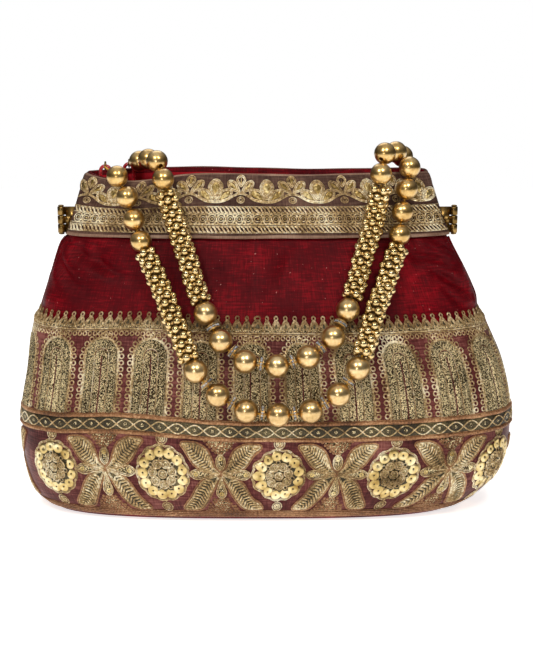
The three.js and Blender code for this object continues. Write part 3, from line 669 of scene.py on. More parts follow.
def cloth_grid(heights, columns):
    """The places of a panel's grid points, from seam to seam."""
    return np.meshgrid(np.linspace(LEFT_SEAM, RIGHT_SEAM, columns), heights)


BORDER_BOTTOM, BORDER_TOP = 2.2, 102.0
BAND_BOTTOM, STRIP_TOP = 144.5, 158.0
SILK_THICKNESS, CLOTH_GAP = 1.0, 0.3
silk_heights = np.concatenate(
    [[0, 1.5, 3, 5], np.linspace(7, 102, 16), np.linspace(104, 147, 44), np.linspace(150, BAG_HEIGHT, 8)]
)


def silk_place(side, u, z, out):
    """Silk, with its own puff where it shows, and held back a little where a border covers it."""
    hidden = step(z, 7, 10) * (1 - step(z, 101, 104)) + step(z, 147, 150)
    return cloth(side, u, z, out + puff(side, u, z) - 0.25 * hidden)


SIDES = (("front", FRONT), ("back", BACK))
for word, side in SIDES:
    u, z = cloth_grid(silk_heights, 190)
    outer, inner = np.zeros_like(u), -SILK_THICKNESS + 0 * u
    sheet = panel("silk_" + word + "_panel", side, u, z, outer, inner, silk_place)
    dress(sheet, "sack", silk_finish, ["silk_" + word])
    flat = ((RIGHT_SEAM - LEFT_SEAM) * MM, BAG_HEIGHT * MM)
print("silk rows:", len(silk_heights))

# %% [markdown]
# The base is a flat oval of the same silk, and the lining is a bag within the bag. Both close in fans of
# shrinking loops. The lining hangs loose, so broad wrinkles run down it.

# %% Base and lining


def loops_to_points(levels, outs, extra, count=200):
    """Loops of cloth points round the sack, from the left seam along the front and back behind it."""
    ahead = np.linspace(LEFT_SEAM, RIGHT_SEAM, count // 2, endpoint=False)
    behind = np.linspace(RIGHT_SEAM, LEFT_SEAM, count // 2, endpoint=False)
    rings = []
    for z, out in zip(levels, outs):
        front = cloth(FRONT, ahead, np.full_like(ahead, z), out + extra(ahead, z))
        back = cloth(BACK, behind, np.full_like(behind, z), out + extra(behind + 40, z))
        rings.append(np.concatenate([front, back]))
    return np.array(rings)


def halfway_in(ring):
    """A copy of a loop, shrunk by half towards its middle, so that a grid can close over it."""
    return ring.mean(0) + (ring - ring.mean(0)) * 0.5


def no_wrinkle(u, _z):
    """A flat cloth's relief."""
    return np.zeros_like(u)


def lining_wrinkle(u, z):
    """Folds that run down the lining and die out at the mouth, where it is sewn."""
    loose = 1 - step(np.full_like(u, z), 120, 165)
    return loose * (0.9 * np.sin(u / 7 + np.sin(z / 20)) - 1.0 + 0.6 * np.sin(u / 3.1 + z / 25))


def end_fans(count, near, far, top):
    """Fans of three-sided faces that shut a stack of loops, round one point before it and one after it."""
    spoke = np.arange(count)
    after = (spoke + 1) % count
    first = np.stack([np.full(count, near), after, spoke], -1)
    return np.concatenate([first, np.stack([np.full(count, far), top + spoke, top + after], -1)])


def closed_form(name, rings):
    """A closed solid of stacked loops, fanned shut at both ends."""
    count = rings.shape[1]
    faces = grid_faces(len(rings), count, wrap_columns=True)
    points = rings.reshape(-1, 3)
    tris = end_fans(count, len(points), len(points) + 1, (len(rings) - 1) * count)
    points = np.concatenate([points, [rings[0].mean(0), rings[-1].mean(0)]])
    return build(name, points, faces, tris, points[:, :2])


base_out = -SILK_THICKNESS - CLOTH_GAP
base_outs = [base_out - 0.6, base_out - 0.2, base_out, base_out - 0.3]
base_rings = loops_to_points([0, 0, 0.5, 1], base_outs, no_wrinkle)
base_rings[:, :, 2] = np.array([0, 0.1, 0.5, 1.0])[:, None]
base_rings = np.concatenate([[halfway_in(base_rings[0])], base_rings, [halfway_in(base_rings[-1])]])
base_sheet = dress(closed_form("base_silk", base_rings), "sack", silk_finish, ["silk_base"])

LINING_THICKNESS, LINING_FLAT = 0.9, (0.6, 0.205)
lining_levels = np.concatenate([np.linspace(4, 120, 24), np.linspace(124, 174, 16)])
lining_ease = np.where(lining_levels < BAND_BOTTOM - 8, 1.0, 1 - step(lining_levels, 136, 146))
lining_outs = base_out - 2.0 * lining_ease
outer = loops_to_points(lining_levels, lining_outs, lining_wrinkle)
inner = loops_to_points(lining_levels, lining_outs - LINING_THICKNESS, lining_wrinkle)
inner[0, :, 2] += LINING_THICKNESS
lining_rings = np.concatenate([[halfway_in(outer[0])], outer, inner[::-1], [halfway_in(inner[0])]])
lining = closed_form("lining_bag", lining_rings)
dress(lining, "sack", lining_finish, ["lining"])
print("lining loops:", len(lining_rings))

# %% [markdown]
# ## Needlework
# Needlework is drawn flat: points have a place across (u), a height (z) and a rise above the silk. A bar that
# follows a path makes cords, rings, petals and raised filling alike. Each shape is made once and then stamped
# at its many places, and the whole is laid on the wall at the end.

# %% Bars, rings and sequins


def run_length(path):
    """How far along a path each of its points lies."""
    return np.concatenate([[0], np.cumsum(np.linalg.norm(np.diff(path, axis=0), axis=1))])


def bar(path, width, rise, base, sides=6, domed=False, closed=False):
    """A bar along a flat path, round or domed on a flat foot: path + across * cos + up * sin."""
    path = np.asarray(path, float)
    if closed:
        tangent = np.roll(path, -1, 0) - np.roll(path, 1, 0)
    else:
        tangent = np.gradient(path, axis=0)
    tangent /= np.maximum(np.linalg.norm(tangent, axis=1, keepdims=True), 1e-9)
    left = np.stack([-tangent[:, 1], tangent[:, 0]], -1)
    turn = np.linspace(0, np.pi, sides) if domed else np.arange(sides) * 2 * np.pi / sides
    count = len(path)
    half = np.broadcast_to(np.asarray(width, float) / 2, (count,))[:, None, None]
    lift = np.broadcast_to(np.asarray(rise, float), (count,))[:, None]
    flat = path[:, None, :] + left[:, None, :] * np.cos(turn)[None, :, None] * half
    up = base + lift * (np.sin(turn)[None, :] if domed else 0.5 + 0.5 * np.sin(turn)[None, :])
    points = np.concatenate([flat, up[..., None]], -1).reshape(-1, 3)
    quads = grid_faces(count, sides, wrap_rows=closed, wrap_columns=True)
    length = run_length(path)
    chart = np.stack(np.broadcast_arrays(length[:, None], np.arange(sides)[None, :] / sides), -1)
    chart = chart.reshape(-1, 2)
    if closed:
        return points, quads, np.zeros((0, 3), int), chart
    ends = np.array([points[:sides].mean(0), points[-sides:].mean(0)])
    tris = end_fans(sides, len(points), len(points) + 1, (count - 1) * sides)
    points = np.concatenate([points, ends])
    chart = np.concatenate([chart, [[0, 0], [length[-1], 0]]])
    return points, quads, tris, chart


def circle(radius, count=10, squash=1.0):
    """Points round a circle, or round an oval if squashed."""
    turn = np.arange(count) * 2 * np.pi / count
    return np.stack([radius * np.cos(turn), radius * squash * np.sin(turn)], -1)


def smooth_path(corners, count, closed=False):
    """A curve through corners: each stretch is a Catmull-Rom cubic of the four corners around it."""
    corners = np.asarray(corners, float)
    if closed:
        ring = np.concatenate([corners[-1:], corners, corners[:2]])
    else:
        ring = np.concatenate([2 * corners[:1] - corners[1:2], corners, 2 * corners[-1:] - corners[-2:-1]])
    stretches = len(ring) - 3
    t = np.linspace(0, stretches, count, endpoint=not closed)
    i = np.minimum(t.astype(int), stretches - 1)
    p = (t - i)[:, None]
    a, b, c, d = ring[i], ring[i + 1], ring[i + 2], ring[i + 3]
    return 0.5 * (2 * b + (c - a) * p + (2 * a - 5 * b + 4 * c - d) * p**2 + (3 * b - a - 3 * c + d) * p**3)


def thread_ring(radius, wire, base=0.0, count=10, squash=1.0):
    """A small ring of thread or wire."""
    return bar(circle(radius, count, squash), 2 * wire, 2 * wire, base, sides=4, closed=True)


def sequin(radius, hole, base=0.0, count=12):
    """A thin flat disc with a hole: a closed bar, wide and low, whose top is drawn out almost to its rims."""
    middle, half = (radius + hole) / 2, (radius - hole) / 2
    ring = circle(middle, count)
    points, quads, tris, chart = bar(ring, 2 * half, 0.14, base, sides=4, domed=True, closed=True)
    distance = np.hypot(points[:, 0], points[:, 1])
    away = distance - middle
    drawn_out = middle + np.where(np.abs(away) > 0.8 * half, away, np.sign(away) * 0.88 * half)
    points[:, :2] *= (drawn_out / distance)[:, None]
    points[:, 2] -= 0.1 * points[:, 1]
    return points, quads, tris, chart


def dome(radius, rise, base=0.0, count=10, squash=1.0):
    """A low closed button: two rings and a top point over a flat foot."""
    foot, shoulder = circle(radius, count, squash), circle(radius * 0.72, count, squash)
    loops = [(foot, base), (shoulder, base + 0.75 * rise)]
    tips = [[0, 0, base + rise], [0, 0, base]]
    points = np.concatenate([np.c_[loop, np.full(count, height)] for loop, height in loops] + [tips])
    quads = grid_faces(2, count, wrap_columns=True)
    spoke = np.arange(count)
    after = (spoke + 1) % count
    upper = np.stack([np.full(count, 2 * count), count + spoke, count + after], -1)
    lower = np.stack([np.full(count, 2 * count + 1), after, spoke], -1)
    return points, quads, np.concatenate([upper, lower]), points[:, :2].copy()


class Needlework:
    """Gathers flat shapes until they are laid on the wall as one piece."""

    def __init__(self):
        self.points, self.quads, self.tris, self.charts, self.count = [], [], [], [], 0

    def add(self, shape):
        """Takes one shape where it is."""
        points, quads, tris, chart = shape
        self.points.append(points)
        self.quads.append(quads + self.count)
        self.tris.append(tris + self.count)
        self.charts.append(chart)
        self.count += len(points)

    def stamp(self, shape, places, turns=0.0, sizes=1.0, mirror=1.0):
        """Repeats a shape: each copy is sized, turned and moved to its place."""
        points, quads, tris, chart = shape
        places = np.atleast_2d(places)
        copies = len(places)
        turns, sizes = np.broadcast_to(turns, (copies,)), np.broadcast_to(sizes, (copies,))
        across = points[None, :, 0] * sizes[:, None] * mirror
        up = points[None, :, 1] * sizes[:, None]
        cosine, sine = np.cos(turns)[:, None], np.sin(turns)[:, None]
        turned_across = across * cosine - up * sine + places[:, :1]
        turned_up = across * sine + up * cosine + places[:, 1:2]
        flat = np.stack([turned_across, turned_up], -1)
        rise = np.broadcast_to(points[:, 2], (copies, len(points)))[..., None]
        offsets = (self.count + np.arange(copies) * len(points))[:, None, None]
        if mirror < 0:
            quads, tris = quads[:, ::-1], tris[:, ::-1]
        self.points.append(np.concatenate([flat, rise], -1).reshape(-1, 3))
        self.quads.append((quads[None] + offsets).reshape(-1, 4))
        self.tris.append((tris[None] + offsets).reshape(-1, 3))
        self.charts.append(np.tile(chart, (copies, 1)))
        self.count += copies * len(points)

    def lay(self, name, side, place):
        """Lays the work on one side of the bag and makes it a piece."""
        flat = np.concatenate(self.points)
        points = place(side, flat[:, 0], flat[:, 1], flat[:, 2])
        quads, tris = np.concatenate(self.quads), np.concatenate(self.tris)
        if side == BACK:
            quads, tris = quads[:, ::-1], tris[:, ::-1]
        return build(name, points, quads, tris, np.concatenate(self.charts))


# %% [markdown]
# ### The deep border
# The border is dusty pink satin, hidden for the most part under gilt work: a scalloped lace along its top,
# a row of round-headed arches, a band with two crossing waves, and below it medallions of sequins that take
# turns with crosses of four leaves. The rows rise a little left of the middle, as they do on the real bag.

# %% Where the border's rows lie
GROUND_RISE = 1.5
GROUND_FOOT = 0.3


def row_lift(u, z):
    """How far hand-laid rows ride up left of the middle."""
    return 3.4 * np.exp(-(((u + 66) / 34) ** 2)) * step(z, 8, 50) * (1 - 0.45 * step(z, 60, 107))


def border_place(side, u, z, out):
    """A point of the border's work. Above the satin's edge the lace lies on the silk itself."""
    lift = row_lift(u, z) if side == FRONT else np.zeros_like(u)
    return cloth(side, u, z + lift, out - 1.0 * step(z, 102.2, 104.6))


border_heights = np.concatenate([[BORDER_BOTTOM, 2.8], np.linspace(4, 101, 50), [101.6, BORDER_TOP]])
for word, side in SIDES:
    u, z = cloth_grid(border_heights, 170)
    edge = np.minimum(np.minimum(z - BORDER_BOTTOM, BORDER_TOP - z), 1.0)
    rise = GROUND_RISE - 0.7 * (1 - edge) ** 2
    sheet = panel("border_ground_" + word, side, u, z, rise, GROUND_FOOT + 0 * u, border_place)
    dress(sheet, "sack", border_finish, ["border_" + word])
    flat = ((RIGHT_SEAM - LEFT_SEAM) * MM, (BORDER_TOP - BORDER_BOTTOM) * MM)

# %% [markdown]
# The arches stand in a row. A double cord outlines each one, little rings run round it, and inside lie
# a broad arch of close filling, a cord and a narrower core.

# %% Arches
ARCH_PITCH, ARCH_SHIFT = 26.4, -2.5
ARCH_FOOT = 57.0


def arch_path(half, top, count=40, foot=ARCH_FOOT):
    """Up one leg, round the crown and down the other leg."""
    spring = top - half
    turn = np.linspace(0, np.pi, count // 2)
    legs = np.linspace(foot, spring, count // 4, endpoint=False)
    right = np.stack([np.full_like(legs, half), legs], -1)
    crown = np.stack([half * np.cos(turn), spring + half * np.sin(turn)], -1)
    left = np.stack([np.full_like(legs, -half), legs[::-1]], -1)
    return np.concatenate([right, crown, left])


def along(path, pitch):
    """Places at an even pitch along a path, with the path's direction at each."""
    path = np.asarray(path, float)
    length = run_length(path)
    count = max(int(round(length[-1] / pitch)), 1)
    at = (np.arange(count) + 0.5) * length[-1] / count
    places = np.stack([np.interp(at, length, path[:, k]) for k in (0, 1)], -1)
    ahead = np.stack([np.interp(at + 0.2, length, path[:, k]) for k in (0, 1)], -1)
    behind = np.stack([np.interp(at - 0.2, length, path[:, k]) for k in (0, 1)], -1)
    heading = np.arctan2(ahead[:, 1] - behind[:, 1], ahead[:, 0] - behind[:, 0])
    return places, heading


def pitched(shift, pitch, margin):
    """Places across the panel at a pitch, as far as a margin from each seam."""
    first = int(np.ceil((LEFT_SEAM + margin - shift) / pitch))
    last = int(np.floor((RIGHT_SEAM - margin - shift) / pitch))
    return shift + pitch * np.arange(first, last + 1)


def at_height(places, z):
    """Flat places in a row at one height."""
    return np.stack([places, np.full(len(places), z)], -1)


arch_places = at_height(pitched(ARCH_SHIFT, ARCH_PITCH, 12.5), 0)
rings, fill, cords, tans, sequins = (Needlework() for _ in range(5))
ring_places, _ = along(arch_path(10.9, 96.6), 3.35)
small_ring = thread_ring(1.15, 0.36, GROUND_RISE - 0.2)
for place in arch_places:
    rings.stamp(small_ring, ring_places + place)
for half, top, width, rise in ((6.2, 92.4, 4.6, 0.85), (1.9, 87.8, 3.4, 0.8)):
    arch = bar(arch_path(half, top, 48), width, rise, GROUND_RISE - 0.2, sides=7, domed=True)
    fill.stamp(arch, arch_places)
for half, top, radius in ((9.4, 95.4, 0.34), (8.75, 94.8, 0.26), (3.85, 90.1, 0.24)):
    arch = bar(arch_path(half, top, 48), 2 * radius, 2 * radius, GROUND_RISE - 0.1, sides=5)
    cords.stamp(arch, arch_places)
# A narrow arch fills the row's right end
narrow_place = np.array([[RIGHT_SEAM - 8.6, 0.0]])
arch = bar(arch_path(3.0, 91.0, 40), 3.6, 0.85, GROUND_RISE - 0.2, sides=7, domed=True)
fill.stamp(arch, narrow_place)
cords.stamp(bar(arch_path(5.3, 93.4, 40), 0.68, 0.68, GROUND_RISE - 0.1, sides=5), narrow_place)
rings.stamp(small_ring, along(arch_path(6.8, 95.2), 3.35)[0] + narrow_place[0])
# Rows of close loops lie on the filling
for half, top in ((7.6, 93.7), (6.2, 92.4), (4.9, 91.1), (1.9, 87.8)):
    places, heading = along(arch_path(half, top, 60), 1.55)
    loop = bar(circle(0.62, 6), 0.42, 0.5, GROUND_RISE + 0.35, sides=3, closed=True)
    for place in arch_places:
        fill.stamp(loop, places + place, heading)

# %% [markdown]
# Lace runs along the top edge: each scallop is a little fan of thread with a ring at its heart and a picot
# ring at its tip. Two cords hold it, and a row of rings hangs below.

# %% Lace
LACE_PITCH = 5.4
lace_places = at_height(pitched(0.4, LACE_PITCH, 3.0), 0)
fan_corners = [(-2.7, 100.6), (-2.1, 103.0), (-0.9, 104.8), (0, 105.6)]
fan_corners += [(0.9, 104.8), (2.1, 103.0), (2.7, 100.6)]
fan = smooth_path(fan_corners, 15)
cords_lace = Needlework()
cords_lace.stamp(bar(fan, 0.95, 0.9, GROUND_RISE - 0.1, sides=5), lace_places)
wave_rows = Needlework()
cords_lace.stamp(bar(fan * (0.55, 1) + (0, -0.9), 0.6, 0.9, GROUND_RISE - 0.1, sides=5), lace_places)
cords_lace.stamp(thread_ring(0.95, 0.38, GROUND_RISE), lace_places + (0, 106.5))
cords_lace.stamp(thread_ring(1.35, 0.4, GROUND_RISE + 0.3), lace_places + (0, 102.9))
fan_pad = [(0, 100.8), (0, 102.4), (0, 104.0), (0, 105.2)]
wave_rows.stamp(bar(fan_pad, [4.9, 3.9, 2.6, 1.2], 0.7, GROUND_RISE - 0.35, sides=7, domed=True), lace_places)
row = np.linspace(LEFT_SEAM + 1, RIGHT_SEAM - 1, 240)


def line(z, wave=0.0):
    """A straight row from seam to seam, with a little of the hand's unsteadiness."""
    return np.stack([row, z + wave * np.sin(row / 7.0) + wave * np.sin(row / 3.1)], -1)


fill.add(bar(line(100.9), 1.6, 0.8, GROUND_RISE - 0.2, sides=5, domed=True))
cords.add(bar(line(99.7, 0.08), 0.75, 0.75, GROUND_RISE - 0.1, sides=5))
cords_lace.add(bar(line(98.8, 0.08), 0.55, 0.55, GROUND_RISE - 0.1, sides=5))
rings.stamp(thread_ring(1.0, 0.34, GROUND_RISE - 0.2), at_height(pitched(0.2, 2.9, 3.0), 97.3))

# %% [markdown]
# The wave band stands proud of the border on a dark gilt ground. Two cords cross in lenses along it, each
# with a knot inside, and a thick tan cord binds either edge.

# %% Wave band
WAVE_LOW, WAVE_HIGH, WAVE_PERIOD = 47.2, 55.6, 17.6
wave_middle = (WAVE_LOW + WAVE_HIGH) / 2
wave_rows.add(bar(line(wave_middle), WAVE_HIGH - WAVE_LOW, 1.0, GROUND_RISE - 0.2, sides=7, domed=True))
long_row = np.linspace(LEFT_SEAM + 1, RIGHT_SEAM - 1, 480)
wave_top = GROUND_RISE + 0.62
for turn in (0, np.pi):
    swing = wave_middle + 2.5 * np.sin(2 * np.pi * long_row / WAVE_PERIOD + turn)
    cords.add(bar(np.stack([long_row, swing], -1), 0.72, 0.72, wave_top - 0.1, sides=5))
knots = at_height(pitched(WAVE_PERIOD / 4, WAVE_PERIOD / 2, 4.0), wave_middle)
fill.stamp(dome(1.2, 0.55, wave_top - 0.2, 8), knots)
for z in (WAVE_LOW, WAVE_HIGH):
    tans.add(bar(line(z, 0.12), 1.7, 1.5, GROUND_RISE - 0.2, sides=7))
    tans.add(bar(line(z + 1.1, 0.1), 0.7, 0.8, GROUND_RISE - 0.2, sides=5))

# %% [markdown]
# A medallion is a ring of overlapping sequins round a cluster of coiled rings, edged by a wavy cord. A coil
# on a short stem stands above it and another hangs below.

# %% Medallions
MOTIF_PITCH, MOTIF_SHIFT, MOTIF_HEIGHT = 59.0, 11.5, 28.0
medallions = at_height(pitched(MOTIF_SHIFT, MOTIF_PITCH, 16.0), MOTIF_HEIGHT)
TALL = 1.08
EDGE_OUT, PAD_OUT, SEQUINS_OUT, COILS_OUT, LITTLE_OUT = 12.9, 11.8, 10.2, 5.0, 7.0


def oval(radius, turns):
    """Points round a medallion's middle, at a radius and some turns, on an oval a little taller than wide."""
    return np.stack([radius * np.cos(turns), TALL * radius * np.sin(turns)], -1)


turn = np.linspace(0, 2 * np.pi, 96, endpoint=False)
lobes = 13
edge_path = oval(EDGE_OUT + 0.75 * np.abs(np.sin(lobes * turn / 2)), turn)
cords.stamp(bar(edge_path, 0.6, 0.6, GROUND_RISE - 0.1, sides=5, closed=True), medallions)
cords.stamp(bar(edge_path * 0.955, 0.45, 0.5, GROUND_RISE - 0.1, sides=5, closed=True), medallions)
wave_rows.stamp(dome(PAD_OUT, 0.55, GROUND_RISE - 0.15, 20, TALL), medallions)
sequin_turns = (np.arange(lobes) + 0.5) * 2 * np.pi / lobes
for number, offset in enumerate(oval(SEQUINS_OUT, sequin_turns)):
    shape = sequin(2.8, 0.42, GROUND_RISE + 0.35)
    shape[0][:, 2] += 0.1 * (shape[0][:, 0] * np.cos(number) + shape[0][:, 1] * np.sin(number))
    sequins.stamp(shape, medallions + offset)
heart_turns = np.arange(7) * 2 * np.pi / 7 + 0.3
heart = np.concatenate([[[0, 0]], oval(COILS_OUT, heart_turns)])
for offset in heart:
    cords.stamp(thread_ring(2.05, 0.44, GROUND_RISE + 0.45, 12), medallions + offset)
    cords.stamp(thread_ring(1.05, 0.4, GROUND_RISE + 0.6, 8), medallions + offset)
    sequins.stamp(dome(0.5, 0.5, GROUND_RISE + 0.5, 6), medallions + offset)
    fill.stamp(dome(1.9, 0.35, GROUND_RISE + 0.25, 8), medallions + offset)
gap_turns = heart_turns + np.pi / 7
for offset in oval(LITTLE_OUT, gap_turns):
    cords.stamp(thread_ring(1.0, 0.26, GROUND_RISE + 0.4, 8), medallions + offset)
for above in (17.4, -18.3):
    for radius, wire in ((2.7, 0.3), (1.7, 0.3), (0.8, 0.35)):
        cords.stamp(thread_ring(radius, wire, GROUND_RISE - 0.1, 12), medallions + (0, above))
    fill.stamp(dome(2.4, 0.45, GROUND_RISE - 0.2, 8), medallions + (0, above))
    stem = [(0, above - np.sign(above) * 2.7), (0.3, above - np.sign(above) * 3.6)]
    cords.stamp(bar(smooth_path(stem, 3), 0.5, 0.5, GROUND_RISE - 0.1, sides=5), medallions)

# %% [markdown]
# A leaf cross has four long leaves on its diagonals and four drops between them. A leaf is outlined by a tan
# cord and a bright one, and slanting stitches fill it from its midrib like the barbs of a feather.

# %% Leaf crosses
CROSS_HEIGHT = MOTIF_HEIGHT + 0.7
crosses = at_height(pitched(MOTIF_SHIFT - MOTIF_PITCH / 2, MOTIF_PITCH, 18.0), CROSS_HEIGHT)
# Half a cross closes the row at either seam, and the one at the right seam is smaller
full_size = np.ones(len(crosses))
right_half = (np.concatenate([crosses, [[LEFT_SEAM + 3.4, CROSS_HEIGHT]]]), np.append(full_size, 0.95))
left_half = (np.concatenate([crosses, [[RIGHT_SEAM - 1.8, CROSS_HEIGHT]]]), np.append(full_size, 0.66))
UPPER_LEAF = [(0.6, 0.4), (3.4, 3.6), (5.2, 8.2), (7.4, 12.6), (11.6, 15.3), (15.4, 15.7), (19.2, 15.2)]
UPPER_LEAF += [(17.6, 12.6), (15.6, 9.2), (13.2, 5.6), (9.4, 2.6), (4.4, 1.0)]
LOWER_LEAF = [(4.6, -1.4), (9.2, -3.8), (12.6, -8.2), (15.4, -13.2), (18.6, -17.4), (20.0, -20.2)]
LOWER_LEAF += [(16.2, -20.6), (11.8, -19.8), (8.8, -16.4), (6.0, -11.2), (3.2, -5.4), (0.8, -0.6)]


def grown(loop, amount):
    """A closed path moved outwards by an amount, along its own left and right."""
    tangent = np.roll(loop, -1, 0) - np.roll(loop, 1, 0)
    tangent /= np.linalg.norm(tangent, axis=1, keepdims=True)
    area = np.sum(loop[:, 0] * np.roll(loop[:, 1], -1) - loop[:, 1] * np.roll(loop[:, 0], -1))
    return loop + np.sign(area) * amount * np.stack([tangent[:, 1], -tangent[:, 0]], -1)


def feather(corners, stitches=13):
    """Slanting stitches from a leaf's midrib to its edge, on both sides, each a short domed bar."""
    loop = smooth_path(corners, 96, closed=True)
    tip = loop[np.argmax(np.hypot(*loop.T))]
    axis = tip / np.linalg.norm(tip)
    side_way = np.array([-axis[1], axis[0]])
    distance, offset = loop @ axis, loop @ side_way
    shapes = []
    for share in np.linspace(0.2, 0.93, stitches):
        d = share * distance.max()
        for way in (1, -1):
            slanted = d + 1.7
            near = np.abs(distance - slanted) < 1.4
            reach = np.max(offset[near] * way) if near.any() else 0
            beside = offset[np.abs(distance - d) < 1.4]
            centre = (beside.max() + beside.min()) / 2 if len(beside) else 0
            if reach - way * centre < 0.9:
                continue
            start = axis * d + side_way * centre
            end = axis * slanted + side_way * way * (reach - 0.55)
            shapes.append(np.array([start, (start + end) / 2, end]))
    return shapes


def leaf_pad(corners, tip, rise, base, steps=14, sides=7):
    """A low pad over a leaf: domed ribs from its left edge to its right one, from root to tip."""
    left = smooth_path(corners[: tip + 1], steps)
    right = smooth_path([corners[0]] + corners[:tip:-1] + [corners[tip]], steps)
    share = np.linspace(0, 1, steps)[:, None] * 0.94 + 0.03
    centre, half = (left + right) / 2, (right - left) / 2
    turn = np.linspace(np.pi, 0, sides)
    flat = centre[:, None] + half[:, None] * np.cos(turn)[None, :, None]
    up = base + rise * np.sin(np.pi * share) ** 0.4 * np.sin(turn)[None, :]
    points = np.concatenate([flat, up[..., None]], -1).reshape(-1, 3)
    return points, grid_faces(steps, sides, wrap_columns=True), np.zeros((0, 3), int), points[:, :2].copy()


for corners, tip in ((UPPER_LEAF, 6), (LOWER_LEAF, 5)):
    loop = smooth_path(corners, 56, closed=True)
    pad = leaf_pad(corners, tip, 0.55, GROUND_RISE - 0.15)
    for mirror, (places, sizes) in ((1.0, right_half), (-1.0, left_half)):
        flat = np.array([mirror, 1.0])
        outline = loop * flat
        wave_rows.stamp(pad, places, sizes=sizes, mirror=mirror)
        edge_cord = bar(outline, 0.62, 0.62, GROUND_RISE + 0.1, sides=5, closed=True)
        outer_cord = bar(grown(outline, 0.85), 0.95, 0.95, GROUND_RISE - 0.2, sides=5, closed=True)
        inner_cord = bar(grown(outline, -0.6), 0.4, 0.45, GROUND_RISE + 0.1, sides=5, closed=True)
        cords.stamp(edge_cord, places, sizes=sizes)
        tans.stamp(outer_cord, places, sizes=sizes)
        cords.stamp(inner_cord, places, sizes=sizes)
        for path in feather(corners):
            width = np.array([0.8, 1.3, 0.9])
            stitch = bar(path * flat, width, 0.85, GROUND_RISE + 0.05, sides=5, domed=True)
            cords.stamp(stitch, places, sizes=sizes)
drops = [
    [(0, 2.6), (1.9, 4.6), (2.2, 8.4), (0, 10.9), (-2.2, 8.4), (-1.9, 4.6)],
    [(0, -1.2), (1.2, -5.0), (2.5, -10.4), (0, -13.4), (-2.5, -10.4), (-1.2, -5.0)],
    [(1.2, 0), (6.0, 1.2), (12.2, 2.6), (15.8, 0), (12.2, -2.6), (6.0, -1.2)],
    [(-1.2, 0), (-6.0, -1.2), (-12.2, -2.6), (-15.8, 0), (-12.2, 2.6), (-6.0, 1.2)],
]
for corners in drops:
    loop = smooth_path(corners, 36, closed=True)
    cords.stamp(bar(loop, 0.6, 0.6, GROUND_RISE + 0.5, sides=5, closed=True), crosses)
    cords.stamp(bar(grown(loop, -0.75), 0.42, 0.45, GROUND_RISE + 0.45, sides=5, closed=True), crosses)
    middle = np.mean(corners, 0)
    far = np.array(corners)[np.argmax(np.hypot(*np.array(corners).T))]
    core = [middle * 0.35, middle, middle * 0.4 + far * 0.6, far * 0.97]
    fill.stamp(bar(core, [1.0, 3.0, 4.2, 1.6], 0.7, GROUND_RISE, sides=7, domed=True), crosses)
    sequins.stamp(sequin(1.25, 0.4, GROUND_RISE + 0.75, 8), crosses + far * 0.8)
# Close knots on a low pad fill the wedges above and below each cross
for low, high, reach in ((10.4, 18.0, 8.6), (-12.6, -22.0, 7.4)):
    wedge_path = [(0, low), (0, (low + high) / 2), (0, high)]
    widths = [2.4, 1.15 * reach, 2 * reach]
    fill.stamp(bar(wedge_path, widths, 0.5, GROUND_RISE - 0.2, sides=7, domed=True), crosses)
generator = np.random.default_rng(5)
wedge = []
for low, high, sign, spread in ((11.5, 17.6, 1, 0.92), (14.2, 21.6, -1, 0.62)):
    for z in np.arange(low, high + 0.1, 1.5):
        reach = 2.0 + (z - 11) * spread
        for x in np.arange(-reach, reach + 0.1, 1.7):
            wedge.append((x + generator.uniform(-0.3, 0.3), sign * z + generator.uniform(-0.3, 0.3)))
knot = dome(0.95, 0.8, GROUND_RISE - 0.2, 6)
knot_turns = generator.uniform(0, np.pi, len(wedge))
for offset, angle in zip(wedge, knot_turns):
    tans.stamp(knot, crosses + offset, angle)
hem_rows = ((2.9, 1.5), (4.2, 1.3), (5.5, 1.2), (6.7, 0.7))
for z, width in hem_rows:
    tans.add(bar(line(z, 0.05), width, 0.9, GROUND_RISE - 0.25, sides=5, domed=True))

WORK_PARTS = (
    ("cords", cords, bright_cord),
    ("lace", cords_lace, antique_cord),
    ("rings", rings, bright_cord),
    ("filling", fill, zari_fill),
    ("tan_cords", tans, tan_cord),
    ("wave_ground", wave_rows, wave_ground),
    ("sequins", sequins, sequin_foil),
)
for word, side in SIDES:
    for label, work, finish in WORK_PARTS:
        piece = work.lay("border_" + label + "_" + word, side, border_place)
        dress(piece, "sack", finish, ["border_" + word])
        print(piece.name, "faces:", len(piece.data.polygons))

# %% [markdown]
# ### The band round the mouth
# The band is a straight strip of mauve-brown cloth. Its work is a row of flowers that take turns in size,
# then a rope, a row of coiled rings, a cord and a second rope. Distances along it are true to the band's own
# level.

# %% Band cloth
BAND_FOOT, BAND_RISE, BAND_TRIM = 1.1, 2.3, 4.0
BAND_LEVEL = 160.0
section_x, section_y = section(walk_angles, BAND_LEVEL, 0.0)
band_walk = np.concatenate([[0], np.cumsum(np.hypot(np.diff(section_x), np.diff(section_y)))])
BAND_LEFT, BAND_RIGHT = -band_walk[120], band_walk[240] - band_walk[120]


def band_place(side, v, z, out):
    """A point of the band, told by its distance along the band itself."""
    u = np.interp(v - BAND_LEFT, band_walk, walk + LEFT_SEAM)
    return cloth(side, u, z, out)


